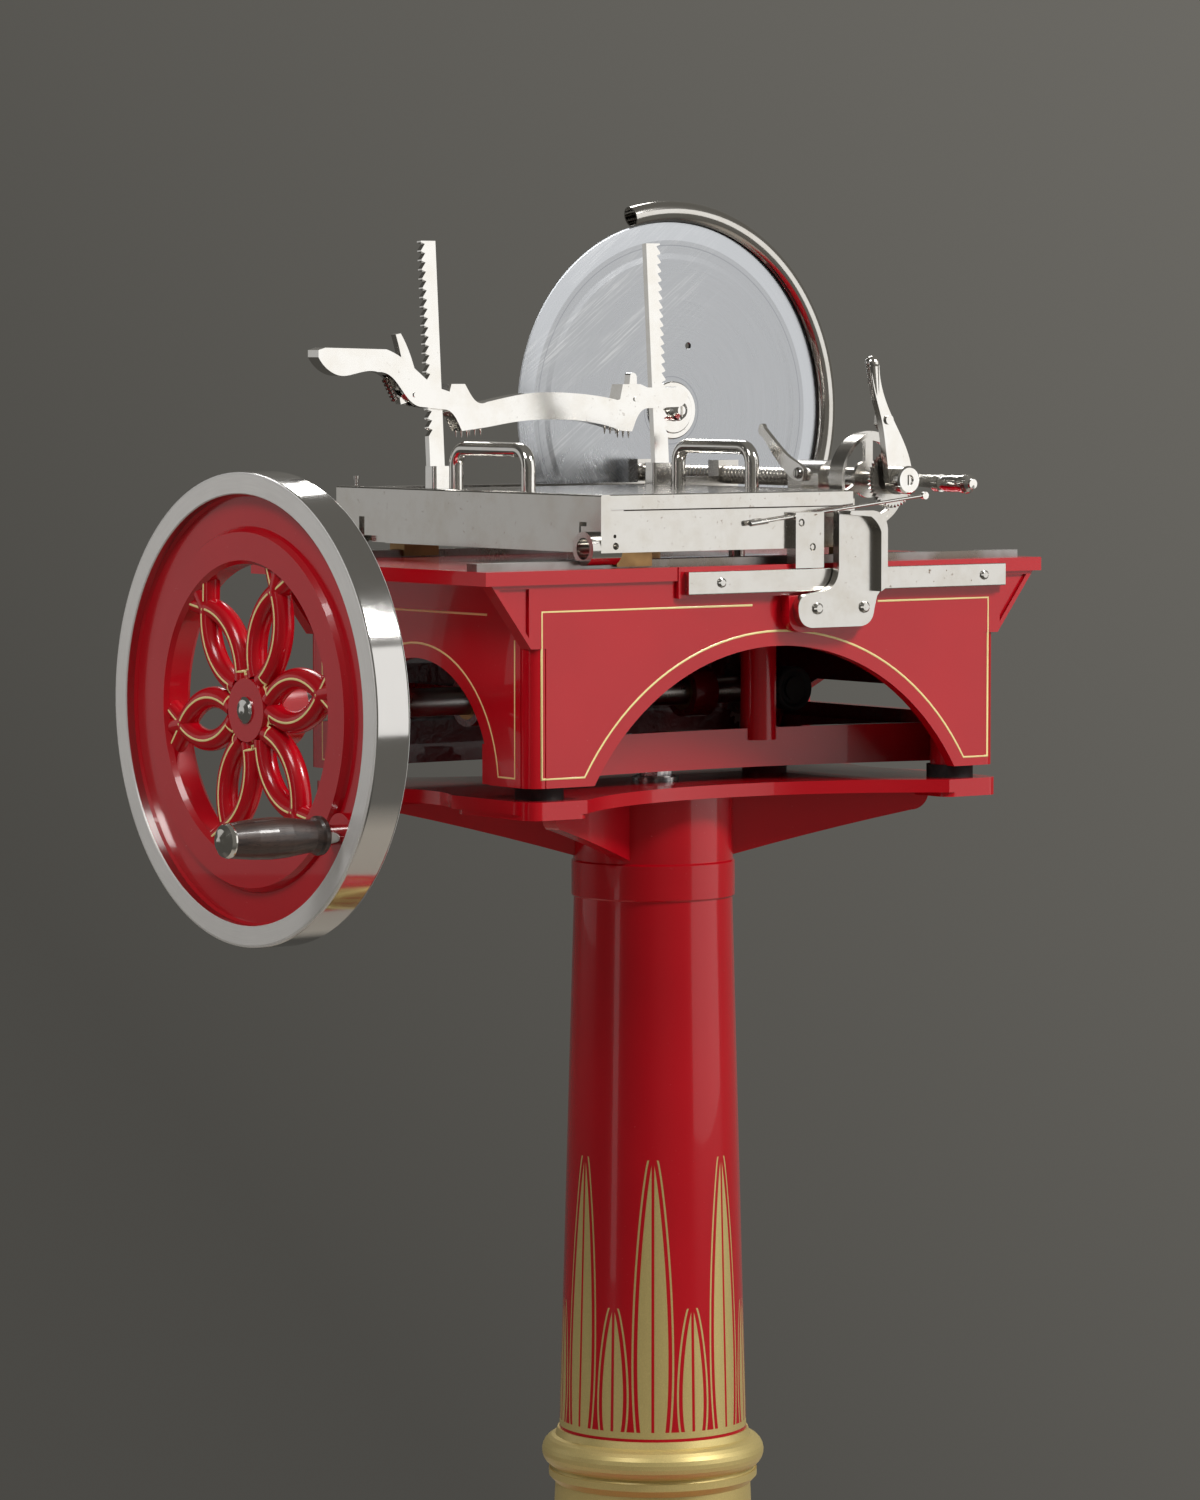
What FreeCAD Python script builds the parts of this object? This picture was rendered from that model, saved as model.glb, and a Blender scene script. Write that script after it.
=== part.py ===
"""Flywheel meat slicer on a pedestal.

Frame: origin on the floor at the pedestal's axis, +Z up, X along the flywheel shaft with the
flywheel at -X, Y along the blade shaft with the blade on the +Y side. Lengths in millimetres.
"""
import FreeCAD, Part
import math
import os

V = FreeCAD.Vector
X_AXIS = V(1, 0, 0)
Y_AXIS = V(0, 1, 0)
Z_AXIS = V(0, 0, 1)

# ---------------------------------------------------------------- driving dimensions
# clearances
FIT = 0.05            # fixed fit between two pieces of one body
RUN = 0.08            # radial running clearance of a shaft in its bush
GAP = 0.3             # plain gap between neighbours
SLIDE = 0.3           # gap of sliding faces

# pedestal
FOOT_R = 235.0
FOOT_RIM_H = 22.0
FOOT_WALL = 12.0
FOOT_RING_W = 60.0
FOOT_TOP_Z = 252.0
FOOT_NECK_R = 84.0
FOOT_WEB_T = 12.0
FOOT_BOSS_R = 30.0
CREVICE_R = 89.6
RING_H = 35.0
RING_R = 95.5
COLUMN_R_LOW = 81.5
COLUMN_R_TOP = 68.0
COLUMN_TOP_Z = 746.0
COLUMN_WALL = 6.0
SPIGOT_L = 40.0
COLLAR_H = 32.0
COLLAR_R = 70.0
NECK_R = 68.5
NECK_WALL = 10.0
PLATE_Z = 835.0
PLATE_T = 11.0
PLATE_CORNER_Y = 160.0
PLATE_CORNER_R = 24.0
PLATE_WAIST = 14.0
PLATE_WAIST_Y = 91.0
LOBE_T = 15.0
LOBE_XS = (-214.0, 222.0)
LOBE_W = 60.0
LOBE_Y0 = 50.0
LOBE_R = 12.0
PAD_Y = 129.0
RIB_T = 12.0
RIB_TIP_H = 17.0
RIB_ROOT_H = 55.0
HEAD_BOLT_R = 8.0
HEAD_BOLT_X = -6.0
HEAD_BOLT_Y = -11.0
WASHER_R = 20.0
PAD_R = 20.0
PAD_T = 11.0
BASE_BOLT_R = 5.0
BOLT_HEAD_T = 6.0
BOLT_SINK = 7.0

# base casting
BASE_X0 = -243.0
BASE_X1 = 251.0
BASE_Y0 = -158.0
BASE_Y1 = 169.0
BASE_H = 177.0
BASE_WALL = 10.0
FLANGE_X0 = -290.0
FLANGE_X1 = 297.0
FLANGE_Y0 = -161.0
FLANGE_Y1 = 183.0
FLANGE_T = 11.4
CORNER_R = 12.0
CORNER_CUT = 15.0
ARCH_X = 12.0
ARCH_R = 222.0
ARCH_RISE = 109.0
END_ARCH_R = 105.0
END_ARCH_RISE = 100.0
END_ARCH_Y = 5.0
WINDOW_Y0 = -80.0
WINDOW_Y1 = 100.0
WINDOW_RISE = 42.0
WINDOW_H = 21.0
GUSSET_H = 52.0
GUSSET_REACH = 40.0
GUSSET_T = 14.0
RAIL_H = 36.0
RAIL_T = 9.0
TIE_BACK_Y = -58.0
TIE_END_Y = -96.0
TIE_H = 33.0
TIE_T = 12.0
ARCH_POST_X = 70.8
ARCH_POST_Y = -55.0
ARCH_POST_R = 15.5

# front rail and striker
FRONT_RAIL_X0 = -90.0
FRONT_RAIL_X1 = 251.0
FRONT_RAIL_Z0 = 1011.0
FRONT_RAIL_H = 19.0
FRONT_RAIL_T = 6.0
RAIL_SCREW_R = 4.2
STRIKER_X0 = 18.0
STRIKER_X1 = 99.0
STRIKER_WEB_X0 = 61.0
STRIKER_WEB_X1 = 107.0
STRIKER_Z0 = 981.0
STRIKER_FOOT_H = 31.0
STRIKER_TOP_Z = 1078.0
STRIKER_T = 8.0
STRIKER_FLANGE = 8.0
STRIKER_SCREW_X = (38.0, 88.0)
STRIKER_SCREW_Z = 997.0
STRIKER_SCREW_R = 5.0
STRIKER_PAD = 4.0

# drive line
SHAFT_Z = 920.0
SHAFT_R = 12.0
BUSH_T = 4.0
MODULE = 2.5
CRANK_X = -80.0
CRANK_R = 110.0
ROD_L = 170.0
CRANK_TEETH = 24
CRANK_FACE = 13.0
CRANK_DISC_Z = 985.0
CRANK_DISC_T = 10.0
CRANK_SHAFT_R = 11.0
CRANK_PIN_R = 7.0
CRANK_PIN_H = 4.5
BRIDGE_W = 30.0
BRIDGE_RISE = 42.0
BRIDGE_T = 12.0
SHAFT_ARMS = ((-196.0, -172.0), (30.0, 54.0))
ROD_T = 8.0
ROD_W = 16.0
ROD_EYE_R = 14.0
DRIVE_PIN_R = 7.0
KNIFE_X = 131.0
KNIFE_GEAR_TEETH = 30
KNIFE_PINION_TEETH = 20
KNIFE_FACE = 10.0
CROSS_R = 10.0
CROSS_FRONT_Y = -30.0
CROSS_CAP_R = 19.2
CROSS_CAP_L = 16.0
HANGER_Y = 64.0
HANGER_R = 16.0
LOW_SPROCKET_TEETH = 30
LOW_SPROCKET_R = 33.0
TOP_SPROCKET_TEETH = 15
TOP_SPROCKET_R = 16.5
SPROCKET_T = 7.0
CHAIN_T = 5.0
CHAIN_GAP = 0.4
COVER_ROOM = 4.0
CHAIN_Y = 280.0
CHAIN_W = 9.0

# blade
BLADE_X = 197.0
BLADE_Y = 236.0
BLADE_Z = 1157.0
BLADE_R = 170.0
BLADE_T = 3.4
EDGE_T = 0.8
BEVEL_W = 17.0
BLADE_HOLE_R = 3.3
BLADE_HOLE_AT = (19.0, 58.0)
HUB_R = 26.0
HUB_T = 4.0
BACK_HUB_R = 52.0
BACK_HUB_T = 6.0
BLADE_SHAFT_R = 10.0
BLADE_NUT_R = 9.5
BLADE_NUT_L = 12.0
GUARD_PATH_R = 178.8
GUARD_R = 9.5
GUARD_WALL = 1.2
GUARD_SLOT = 6.0
GUARD_FROM = -38.0
GUARD_TO = 104.4
STAY_ANGLES = (-28.0, 78.0)
STAY_W = 14.0
BRACKET_Y = 252.0
BRACKET_T = 12.0
BRACKET_X0 = 80.0
BRACKET_X1 = 282.0
BRACKET_Z0 = 885.0
BRACKET_Z1 = 975.0
BRACKET_BOSS_R = 42.0
BEARING_R = 28.0
COVER_WALL = 3.0
COVER_END_Y = 297.0

# flywheel
WHEEL_X = -420.0
WHEEL_R = 194.0
WHEEL_T = 34.0
TYRE_W = 18.2
BAND_W = 27.8
RING_W = 29.0
BAND_T = 14.0
BAND_SET = 10.0
RING_SET = 3.0
WHEEL_HUB_R = 31.0
WHEEL_HUB_L = 41.5
HUB_SET = 4.5
PETALS = 6
PETAL_PHASE = 9.5
PETAL_SET = 13.7
PETAL_TUBE_R = 9.0
PETAL_ROOT_R = 27.0
PETAL_STEM = 15.4
PETAL_HALF_W = 17.5
HUB_NUT_R = 10.0
HUB_NUT_SINK = 6.0
SPINDLE_INSET = 10.8
SPINDLE_ANGLE = -34.0
SPINDLE_R = 6.0
SPINDLE_BOSS_R = 17.0
GRIP_L = 98.0
GRIP_CAP_L = 10.0
SPINDLE_COLLAR_L = 17.0
SPINDLE_COLLAR_R = 8.0

# carriage
STROKE = 110.0
CAR_X0 = -174.0
CAR_PLATE_T = 10.0
CAR_Y0 = -160.0
CAR_Y1 = 225.0
CAR_Z0 = 1047.0
CAR_TOP = 1094.5
CAR_FRONT_X = 22.0
CAR_FRONT_T = 8.0
CAR_FRONT_TOP = 1081.0
CAR_SIDE_X = 132.0
DECK_Y = 205.0
DECK_T = 10.0
SCREW_DECK_X1 = 172.0
SCREW_DECK_Y0 = -60.0
SCREW_DECK_TOP = 1084.0
WEB_X0 = 60.0
WEB_X1 = 120.0
WEB_T = 12.0
EAR_R = 14.0
EAR_Z = 1050.5
EAR_Y = -146.0
SLIDE_RAIL_H = 6.0
SLIDE_RAIL_W = 14.0
SLIDE_RAIL_YS = (-133.0, 173.0)
SHOE_L = 36.0
SHOE_XS = (-128.0, 112.0)
BLOCK_X0 = 22.0
BLOCK_X1 = 52.0
BLOCK_TOP = 1077.0
CAR_SCREW_R = 3.2
CAR_SCREW_SINK = 2.0

# feed table, posts and handles
TABLE_X0 = -163.5
TABLE_X1 = 92.0
TABLE_Y0 = -157.0
TABLE_Y1 = 108.5
TABLE_T = 12.5
FEED_TRAVEL = 95.0
POST_XS = (-155.0, 84.5)
POST_Y = 101.0
POST_W = 15.0
POST_T = 6.0
POST_H = 210.0
POST_LEAN = 4.0
TOOTH_PITCH = 7.9
TOOTH_D = 4.0
TOOTH_FROM = 42.0
SOCKET_W = 26.0
SOCKET_TRIM = 6.0
SOCKET_T = 15.0
SOCKET_H = 19.0
HANDLE_XS = (-155.0, 81.3)
HANDLE_Y0 = -32.4
HANDLE_Y1 = 71.4
HANDLE_H = 34.3
HANDLE_R = 6.2
HANDLE_BEND = 14.0

# clamp
CLAMP_Y = 106.3
CLAMP_T = 16.0
CHEEK_T = 4.0
PAWL_PIN_X = -178.5
PAWL_PIN_Z = 1174.0
PAWL_PIN_R = 2.2
TAB_PIN_X = 55.0
TAB_PIN_Z = 1169.0
SPIKE_R = 1.6
SPIKE_H = 6.0
SPIKE_SPOTS = ((-128.0, 1143.5), (-114.0, 1145.0), (30.0, 1145.0), (44.0, 1141.5))
PAWL_ROOM = (-205.0, -161.0)
SPRING_START = (-204.6, 1188.0)
SPRING_END = (-15.5, -5.0)

# feed screw and its parts
SCREW_X = 153.0
SCREW_Z = 1102.0
SCREW_R = 8.0
SCREW_ROOT_R = 6.2
THREAD_PITCH = 5.0
SCREW_Y0 = -6.0
SCREW_Y1 = 204.0
JOURNAL_R = 6.0
LEVER_Y = -146.0
LEVER_T = 7.0
LEVER_TOP = (-29.0, 102.0)
KNOB_R = 12.0
KNOB_T = 11.0
RATCHET_R = 24.0
RATCHET_Y = -135.0
RATCHET_T = 5.0
RATCHET_TEETH = 40
RIVET_AT = (-14.0, 51.0)
RING_R_OUT = 41.0
RING_R_IN = 33.0
RING_Y = -103.0
RING_T = 4.0
RING_RIM = 14.0
CRANK_ARM_Y = -124.0
CRANK_ARM_T = 7.0
CRANK_ARM_L = 63.0
KNOB_HANDLE_L = 42.0
KNOB_HANDLE_R = 7.6
HOUSING_Y0 = -52.0
HOUSING_Y1 = -10.0
HOUSING_W = 30.0
LATCH_PIN_Y = -30.0
LATCH_PIN_Z = 1106.0
LATCH_ROOM = 10.0
LATCH_TIP = (23.0, 1145.0)
ACTUATOR_R = 1.3
ACTUATOR_Y = -165.0

# ---------------------------------------------------------------- derived places
BASE_Z0 = PLATE_Z + PLATE_T + PAD_T
BASE_TOP = BASE_Z0 + BASE_H
BASE_IN_TOP = BASE_TOP - FLANGE_T
BASE_MID_X = (BASE_X0 + BASE_X1) / 2
ARCH_Z = BASE_Z0 + ARCH_RISE - ARCH_R
END_ARCH_Z = BASE_Z0 + END_ARCH_RISE - END_ARCH_R
FRONT_RAIL_Y = FLANGE_Y0 - 1.0
STRIKER_Y = FRONT_RAIL_Y - FRONT_RAIL_T - 1.0
CRANK_PITCH_R = MODULE * CRANK_TEETH / 2
BRIDGE_Z = SHAFT_Z + BRIDGE_RISE
GEAR_PITCH_R = MODULE * KNIFE_GEAR_TEETH / 2
PINION_PITCH_R = MODULE * KNIFE_PINION_TEETH / 2
DRIVE_PIN_X = CRANK_X + ROD_L
ROD_Z = CRANK_DISC_Z + CRANK_DISC_T + CRANK_PIN_H + 1.5
TABLE_Z0 = CAR_TOP - TABLE_T
TYRE_IN = WHEEL_R - TYRE_W
BAND_IN = TYRE_IN - BAND_W
RING_IN = BAND_IN - RING_W
PETAL_TIP_R = RING_IN - PETAL_STEM
SPINDLE_AT = TYRE_IN - SPINDLE_INSET
WHEEL_BACK = WHEEL_X + WHEEL_T
HUB_FACE = WHEEL_X + HUB_SET
SHAFT_END_X = KNIFE_X - CROSS_R - 5.0
BLADE_FACE = BLADE_Y - BLADE_T / 2
BLADE_BACK = BLADE_Y + BLADE_T / 2
RAIL_TOP = BASE_TOP + SLIDE_RAIL_H
GUIDE_TOP = SCREW_Z - SCREW_R - 2.0


# ---------------------------------------------------------------- helpers
def box(x0, x1, y0, y1, z0, z1):
    """A box between two corners."""
    return Part.makeBox(x1 - x0, y1 - y0, z1 - z0, V(x0, y0, z0))


def rod(start, end, radius):
    """A round bar from one point to another."""
    start = V(*start)
    span = V(*end) - start
    return Part.makeCylinder(radius, span.Length, start, span)


def pipe(start, end, outer, inner):
    """A round tube from one point to another."""
    return rod(start, end, outer).cut(rod(start, end, inner))


def cone(start, end, radius0, radius1):
    """A cone frustum from one point to another."""
    start = V(*start)
    span = V(*end) - start
    return Part.makeCone(radius0, radius1, span.Length, start, span)


def ball(centre, radius):
    """A ball."""
    return Part.makeSphere(radius, V(*centre))


def fuse(shapes):
    """One solid from shapes that touch or overlap."""
    result = shapes[0].multiFuse(shapes[1:]) if len(shapes) > 1 else shapes[0]
    return result.removeSplitter()


def cut(shape, tools):
    """A shape with all tools taken away."""
    for tool in tools:
        shape = shape.cut(tool)
    return shape


def group(shapes):
    """Separate solids that share one node."""
    return Part.makeCompound(shapes)


def turned(profile, centre, axis, angle=360.0):
    """A closed profile of (radius, height) points, turned about an axis through centre."""
    wire = Part.makePolygon([V(r, 0, h) for r, h in profile + profile[:1]])
    solid = Part.Face(wire).revolve(V(0, 0, 0), Z_AXIS, angle)
    solid.Placement = FreeCAD.Placement(V(*centre), FreeCAD.Rotation(Z_AXIS, V(*axis)))
    return solid


def outline_wire(stretches, place):
    """A closed wire: stretches are ("line", points) or ("curve", points), place makes a vector."""
    edges = []
    first = None
    last = None
    for kind, points in stretches:
        spots = [place(*p) for p in points]
        if last is not None:
            spots = [last] + spots
        if first is None:
            first = spots[0]
        if kind == "curve":
            curve = Part.BSplineCurve()
            curve.interpolate(spots)
            edges.append(curve.toShape())
        else:
            edges += [Part.makeLine(a, b) for a, b in zip(spots, spots[1:])]
        last = spots[-1]
    if (last - first).Length > 1e-6:
        edges.append(Part.makeLine(last, first))
    return Part.Wire(edges)


def slab_xz(stretches, y0, y1):
    """An outline in X and Z, made solid from y0 to y1."""
    wire = outline_wire(stretches, lambda x, z: V(x, y0, z))
    return Part.Face(wire).extrude(V(0, y1 - y0, 0))


def slab_yz(stretches, x0, x1):
    """An outline in Y and Z, made solid from x0 to x1."""
    wire = outline_wire(stretches, lambda y, z: V(x0, y, z))
    return Part.Face(wire).extrude(V(x1 - x0, 0, 0))


def slab_xy(stretches, z0, z1):
    """An outline in X and Y, made solid from z0 to z1."""
    wire = outline_wire(stretches, lambda x, y: V(x, y, z0))
    return Part.Face(wire).extrude(V(0, 0, z1 - z0))


def polygon(points):
    """The stretches of an outline with straight sides only."""
    return [("line", list(points))]


def rounded_box(x0, x1, y0, y1, z0, z1, radius):
    """A box with round vertical edges."""
    shape = box(x0, x1, y0, y1, z0, z1)
    edges = [e for e in shape.Edges if abs(e.tangentAt(e.FirstParameter).z) > 0.9]
    return shape.makeFillet(radius, edges)


def bent_rod(points, bend, radius):
    """A round bar along straight runs with round bends."""
    points = [V(*p) for p in points]
    edges = []
    start = points[0]
    for before, corner, after in zip(points, points[1:], points[2:]):
        into = (corner - before).normalize()
        out = (after - corner).normalize()
        half = math.acos(max(-1.0, min(1.0, into.dot(out)))) / 2
        reach = bend * math.tan(half)
        first = corner - into * reach
        second = corner + out * reach
        inward = (out - into).normalize()
        middle = corner + inward * (bend / math.cos(half) - bend)
        edges.append(Part.makeLine(start, first))
        edges.append(Part.Arc(first, middle, second).toShape())
        start = second
    edges.append(Part.makeLine(start, points[-1]))
    path = Part.Wire(edges)
    section = Part.Wire([Part.makeCircle(radius, points[0], points[1] - points[0])])
    return path.makePipeShell([section], True, False)


def polar(centre_a, centre_b, radius, degrees):
    """A point on a circle in a plane of two coordinates."""
    turn = math.radians(degrees)
    return (centre_a + radius * math.cos(turn), centre_b + radius * math.sin(turn))


def gear_points(pitch_r, teeth, phase, fill=0.40, tip=0.75, root=1.05):
    """The outline of a straight-flanked gear: a list of (radius, angle) points."""
    step = 2 * math.pi / teeth
    module = 2 * pitch_r / teeth
    points = []
    for k in range(teeth):
        at = (k + phase) * step
        points.append((pitch_r - root * module, at - step * (fill / 2 + 0.14)))
        points.append((pitch_r + tip * module, at - step * (fill / 2 - 0.11)))
        points.append((pitch_r + tip * module, at + step * (fill / 2 - 0.11)))
        points.append((pitch_r - root * module, at + step * (fill / 2 + 0.14)))
    return points


def bevel_gear(pitch_r, teeth, apex_dist, face, phase):
    """A bevel gear about +Z with its apex at the origin and its wide end at -apex_dist."""
    slant = math.hypot(pitch_r, apex_dist)
    shrink = (slant - face) / slant
    wires = []
    for scale in (1.0, shrink):
        ring = [V(r * scale * math.cos(a), r * scale * math.sin(a), -apex_dist * scale)
                for r, a in gear_points(pitch_r, teeth, phase)]
        wires.append(Part.makePolygon(ring + ring[:1]))
    return Part.makeLoft(wires, True, True)


def placed(shape, centre, axis):
    """A shape made about +Z at the origin, moved to centre and turned to axis."""
    shape = shape.copy()
    shape.Placement = FreeCAD.Placement(V(*centre), FreeCAD.Rotation(Z_AXIS, V(*axis)))
    return shape


def hex_bolt(head_at, direction, shank_r, length, head_t):
    """A hexagon bolt: head_at is under its head, the shank goes along direction."""
    head_r = shank_r * 1.85
    corners = [V(head_r * math.cos(math.radians(60 * k)), head_r * math.sin(math.radians(60 * k)), 0)
               for k in range(6)]
    head = Part.Face(Part.makePolygon(corners + corners[:1])).extrude(V(0, 0, -head_t))
    shank = Part.makeCylinder(shank_r, length, V(0, 0, -1))
    return placed(fuse([head, shank]), head_at, direction)


def slotted_screw(face_at, outward, head_r, head_h=2.2, depth=6.0):
    """A round-headed slotted screw: face_at is on the face, outward points out of it."""
    head = turned([(0, 0), (head_r, 0), (head_r * 0.93, head_h * 0.6), (head_r * 0.6, head_h),
                   (0, head_h)], (0, 0, 0), (0, 0, 1))
    slot = box(-head_r, head_r, -head_r * 0.13, head_r * 0.13, head_h * 0.45, head_h + 1)
    shank = Part.makeCylinder(head_r * 0.5, depth + 0.1, V(0, 0, -depth))
    return placed(fuse([head.cut(slot), shank]), face_at, outward)


def screw_hole(face_at, outward, head_r, depth=6.0):
    """The hole for a slotted screw of the same head radius."""
    hole = Part.makeCylinder(head_r * 0.5 + FIT, depth + 1.0 + FIT, V(0, 0, -depth - FIT))
    return placed(hole, face_at, outward)


# ---------------------------------------------------------------- pedestal
def column_r(z):
    """The column's outer radius at a height."""
    share = (z - FOOT_TOP_Z) / (COLUMN_TOP_Z - FOOT_TOP_Z)
    return COLUMN_R_LOW + (COLUMN_R_TOP - COLUMN_R_LOW) * share


def pedestal_foot():
    """The flared cast foot with a spigot for the column and a cross of webs at the floor."""
    spigot_r = column_r(FOOT_TOP_Z + SPIGOT_L) - COLUMN_WALL - FIT
    flare = []
    steps = 10
    low_z = FOOT_RIM_H + 14.0
    low_r = FOOT_R - 20.0
    high_z = FOOT_TOP_Z - 12.0
    for k in range(steps + 1):
        turn = math.pi / 2 * k / steps
        flare.append((low_r - (low_r - FOOT_NECK_R) * math.sin(turn),
                      high_z - (high_z - low_z) * math.cos(turn)))
    inner = [(r - FOOT_WALL, z - FOOT_WALL * 0.6) for r, z in reversed(flare)]
    profile = [(FOOT_R, 0), (FOOT_R, FOOT_RIM_H), (FOOT_R - 5.0, FOOT_RIM_H + 5.0),
               (low_r + 4.0, low_z - 2.0)] + flare
    profile += [(CREVICE_R, FOOT_TOP_Z - 6.0), (CREVICE_R, FOOT_TOP_Z), (spigot_r, FOOT_TOP_Z),
                (spigot_r, FOOT_TOP_Z + SPIGOT_L), (spigot_r - COLUMN_WALL, FOOT_TOP_Z + SPIGOT_L)]
    profile += [(spigot_r - COLUMN_WALL, high_z - FOOT_WALL)] + inner[1:]
    profile += [(FOOT_R - FOOT_RING_W, low_z - FOOT_WALL), (FOOT_R - FOOT_RING_W, 0)]
    reach = FOOT_R - FOOT_RING_W + 5.0
    half = FOOT_WEB_T / 2
    webs = [box(-reach, reach, -half, half, 0, FOOT_RIM_H), box(-half, half, -reach, reach, 0, FOOT_RIM_H),
            rod((0, 0, 0), (0, 0, FOOT_RIM_H), FOOT_BOSS_R)]
    return fuse([turned(profile, (0, 0, 0), (0, 0, 1))] + webs)


def pedestal_ring():
    """The half-round ring that hides the joint of foot and column."""
    z0 = FOOT_TOP_Z
    z1 = FOOT_TOP_Z + RING_H
    inner = [(column_r(z1) + FIT, z1), (column_r(z0) + FIT, z0)]
    steps = 10
    bulge = []
    for k in range(steps + 1):
        turn = math.radians(-70 + 150 * k / steps)
        bulge.append((RING_R - 14.0 + 14.0 * math.cos(turn), z0 + 15.5 + 14.0 * math.sin(turn)))
    profile = inner + [(CREVICE_R - 2.0, z0)] + bulge + [(column_r(z1) + 1.5, z1)]
    return turned(profile, (0, 0, 0), (0, 0, 1))


def pedestal_column():
    """The tapered tube."""
    profile = [(column_r(z), z) for z in (FOOT_TOP_Z, COLUMN_TOP_Z)]
    profile += [(r - COLUMN_WALL, z) for r, z in reversed(profile)]
    return turned(profile, (0, 0, 0), (0, 0, 1))


def head_plate_outline():
    """The head's plate: four round corners with waisted sides between them."""
    z = PLATE_Z
    r = PLATE_CORNER_R
    cy = PLATE_CORNER_Y
    x0 = LOBE_XS[0] - LOBE_W / 2 - 2.0
    x1 = LOBE_XS[1] + LOBE_W / 2 + 2.0
    in_x0 = LOBE_XS[0] + LOBE_W / 2 - 4.0
    in_x1 = LOBE_XS[1] - LOBE_W / 2 + 4.0
    bend = r * (1 - math.cos(math.pi / 4))
    edges = []
    for a, b, mid in (((in_x0, -cy), (in_x1, -cy), (BASE_MID_X, -PLATE_WAIST_Y)),
                      ((x1, -LOBE_Y0), (x1, LOBE_Y0), (x1 - PLATE_WAIST, 0)),
                      ((in_x1, cy), (in_x0, cy), (BASE_MID_X, PLATE_WAIST_Y)),
                      ((x0, LOBE_Y0), (x0, -LOBE_Y0), (x0 + PLATE_WAIST, 0))):
        edges.append(Part.Arc(V(*a, z), V(*mid, z), V(*b, z)).toShape())
    for x, inner, sx in ((x0, in_x0, 1), (x1, in_x1, -1)):
        for sy in (-1, 1):
            y = sy * cy
            edges.append(Part.makeLine(V(inner, y, z), V(x + sx * r, y, z)))
            edges.append(Part.Arc(V(x + sx * r, y, z), V(x + sx * bend, y - sy * bend, z),
                                  V(x, y - sy * r, z)).toShape())
            edges.append(Part.makeLine(V(x, y - sy * r, z), V(x, sy * LOBE_Y0, z)))
    return Part.Wire(Part.__sortEdges__(edges))


def head_rib(reach):
    """One rib along +X under the plate, from the neck to its rounded tip."""
    root = NECK_R - 4.0
    outline = [("line", [(root, PLATE_Z + 1), (root, PLATE_Z - RIB_ROOT_H)]),
               ("curve", [((root + reach) / 2, PLATE_Z - RIB_ROOT_H * 0.6),
                          (reach - 14.0, PLATE_Z - RIB_TIP_H)]),
               ("curve", [(reach - 5.0, PLATE_Z - RIB_TIP_H * 0.8), (reach, PLATE_Z - RIB_TIP_H * 0.35),
                          (reach, PLATE_Z + 1)])]
    return slab_xz(outline, -RIB_T / 2, RIB_T / 2)


def pedestal_head():
    """The head casting: spigot, collar, neck, waisted plate, four lobes and four ribs."""
    neck_z = COLUMN_TOP_Z + COLLAR_H
    spigot_r = COLUMN_R_TOP - COLUMN_WALL - FIT
    neck = turned([(spigot_r - NECK_WALL, COLUMN_TOP_Z - SPIGOT_L), (spigot_r, COLUMN_TOP_Z - SPIGOT_L),
                   (spigot_r, COLUMN_TOP_Z), (COLLAR_R - 1.5, COLUMN_TOP_Z), (COLLAR_R, COLUMN_TOP_Z + 1.5),
                   (COLLAR_R, neck_z - 1.5), (COLLAR_R - 1.5, neck_z), (NECK_R, neck_z + 1.0),
                   (NECK_R, PLATE_Z + 1.0), (spigot_r - NECK_WALL, PLATE_Z + 1.0)],
                  (0, 0, 0), (0, 0, 1))
    shapes = [neck, Part.Face(head_plate_outline()).extrude(V(0, 0, PLATE_T))]
    top = PLATE_Z + PLATE_T
    for x, y in pad_centres():
        ys = sorted((math.copysign(LOBE_Y0, y), math.copysign(PLATE_CORNER_Y, y)))
        shapes.append(rounded_box(x - LOBE_W / 2, x + LOBE_W / 2, ys[0], ys[1], top - LOBE_T, top, LOBE_R))
        rib = head_rib(math.hypot(x, y) - PAD_R)
        rib.rotate(V(0, 0, 0), Z_AXIS, math.degrees(math.atan2(y, x)))
        shapes.append(rib)
    head = fuse(shapes)
    holes = [rod((HEAD_BOLT_X, HEAD_BOLT_Y, PLATE_Z - 2), (HEAD_BOLT_X, HEAD_BOLT_Y, top + 2),
                 HEAD_BOLT_R + FIT)]
    for x, y in pad_centres():
        holes.append(rod((x, y, PLATE_Z - RIB_TIP_H - 2), (x, y, top + 2), BASE_BOLT_R + FIT))
        holes.append(rod((x, y, PLATE_Z - RIB_TIP_H - 2), (x, y, top - LOBE_T + BOLT_SINK),
                         BASE_BOLT_R * 2 + 1))
    return cut(head, holes)


def pad_centres():
    """Where the four pads and base bolts stand."""
    return [(x, y) for x in LOBE_XS for y in (-PAD_Y, PAD_Y)]


def head_bolt():
    """The hexagon bolt and wide washer in the head's middle."""
    top = PLATE_Z + PLATE_T
    at = (HEAD_BOLT_X, HEAD_BOLT_Y)
    washer = pipe((*at, top), (*at, top + 3.0), WASHER_R, HEAD_BOLT_R + FIT)
    rim = pipe((*at, top + 3.0), (*at, top + 4.2), WASHER_R - 3.0, HEAD_BOLT_R + FIT)
    bolt = hex_bolt((*at, top + 4.2), (0, 0, -1), HEAD_BOLT_R, 4.2 + PLATE_T + 24.0, 6.0)
    return [bolt, fuse([washer, rim])]


def rubber_pads():
    """Four pads between the head's lobes and the base's feet."""
    top = PLATE_Z + PLATE_T
    return group([pipe((x, y, top), (x, y, top + PAD_T), PAD_R, BASE_BOLT_R + FIT)
                  for x, y in pad_centres()])


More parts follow.
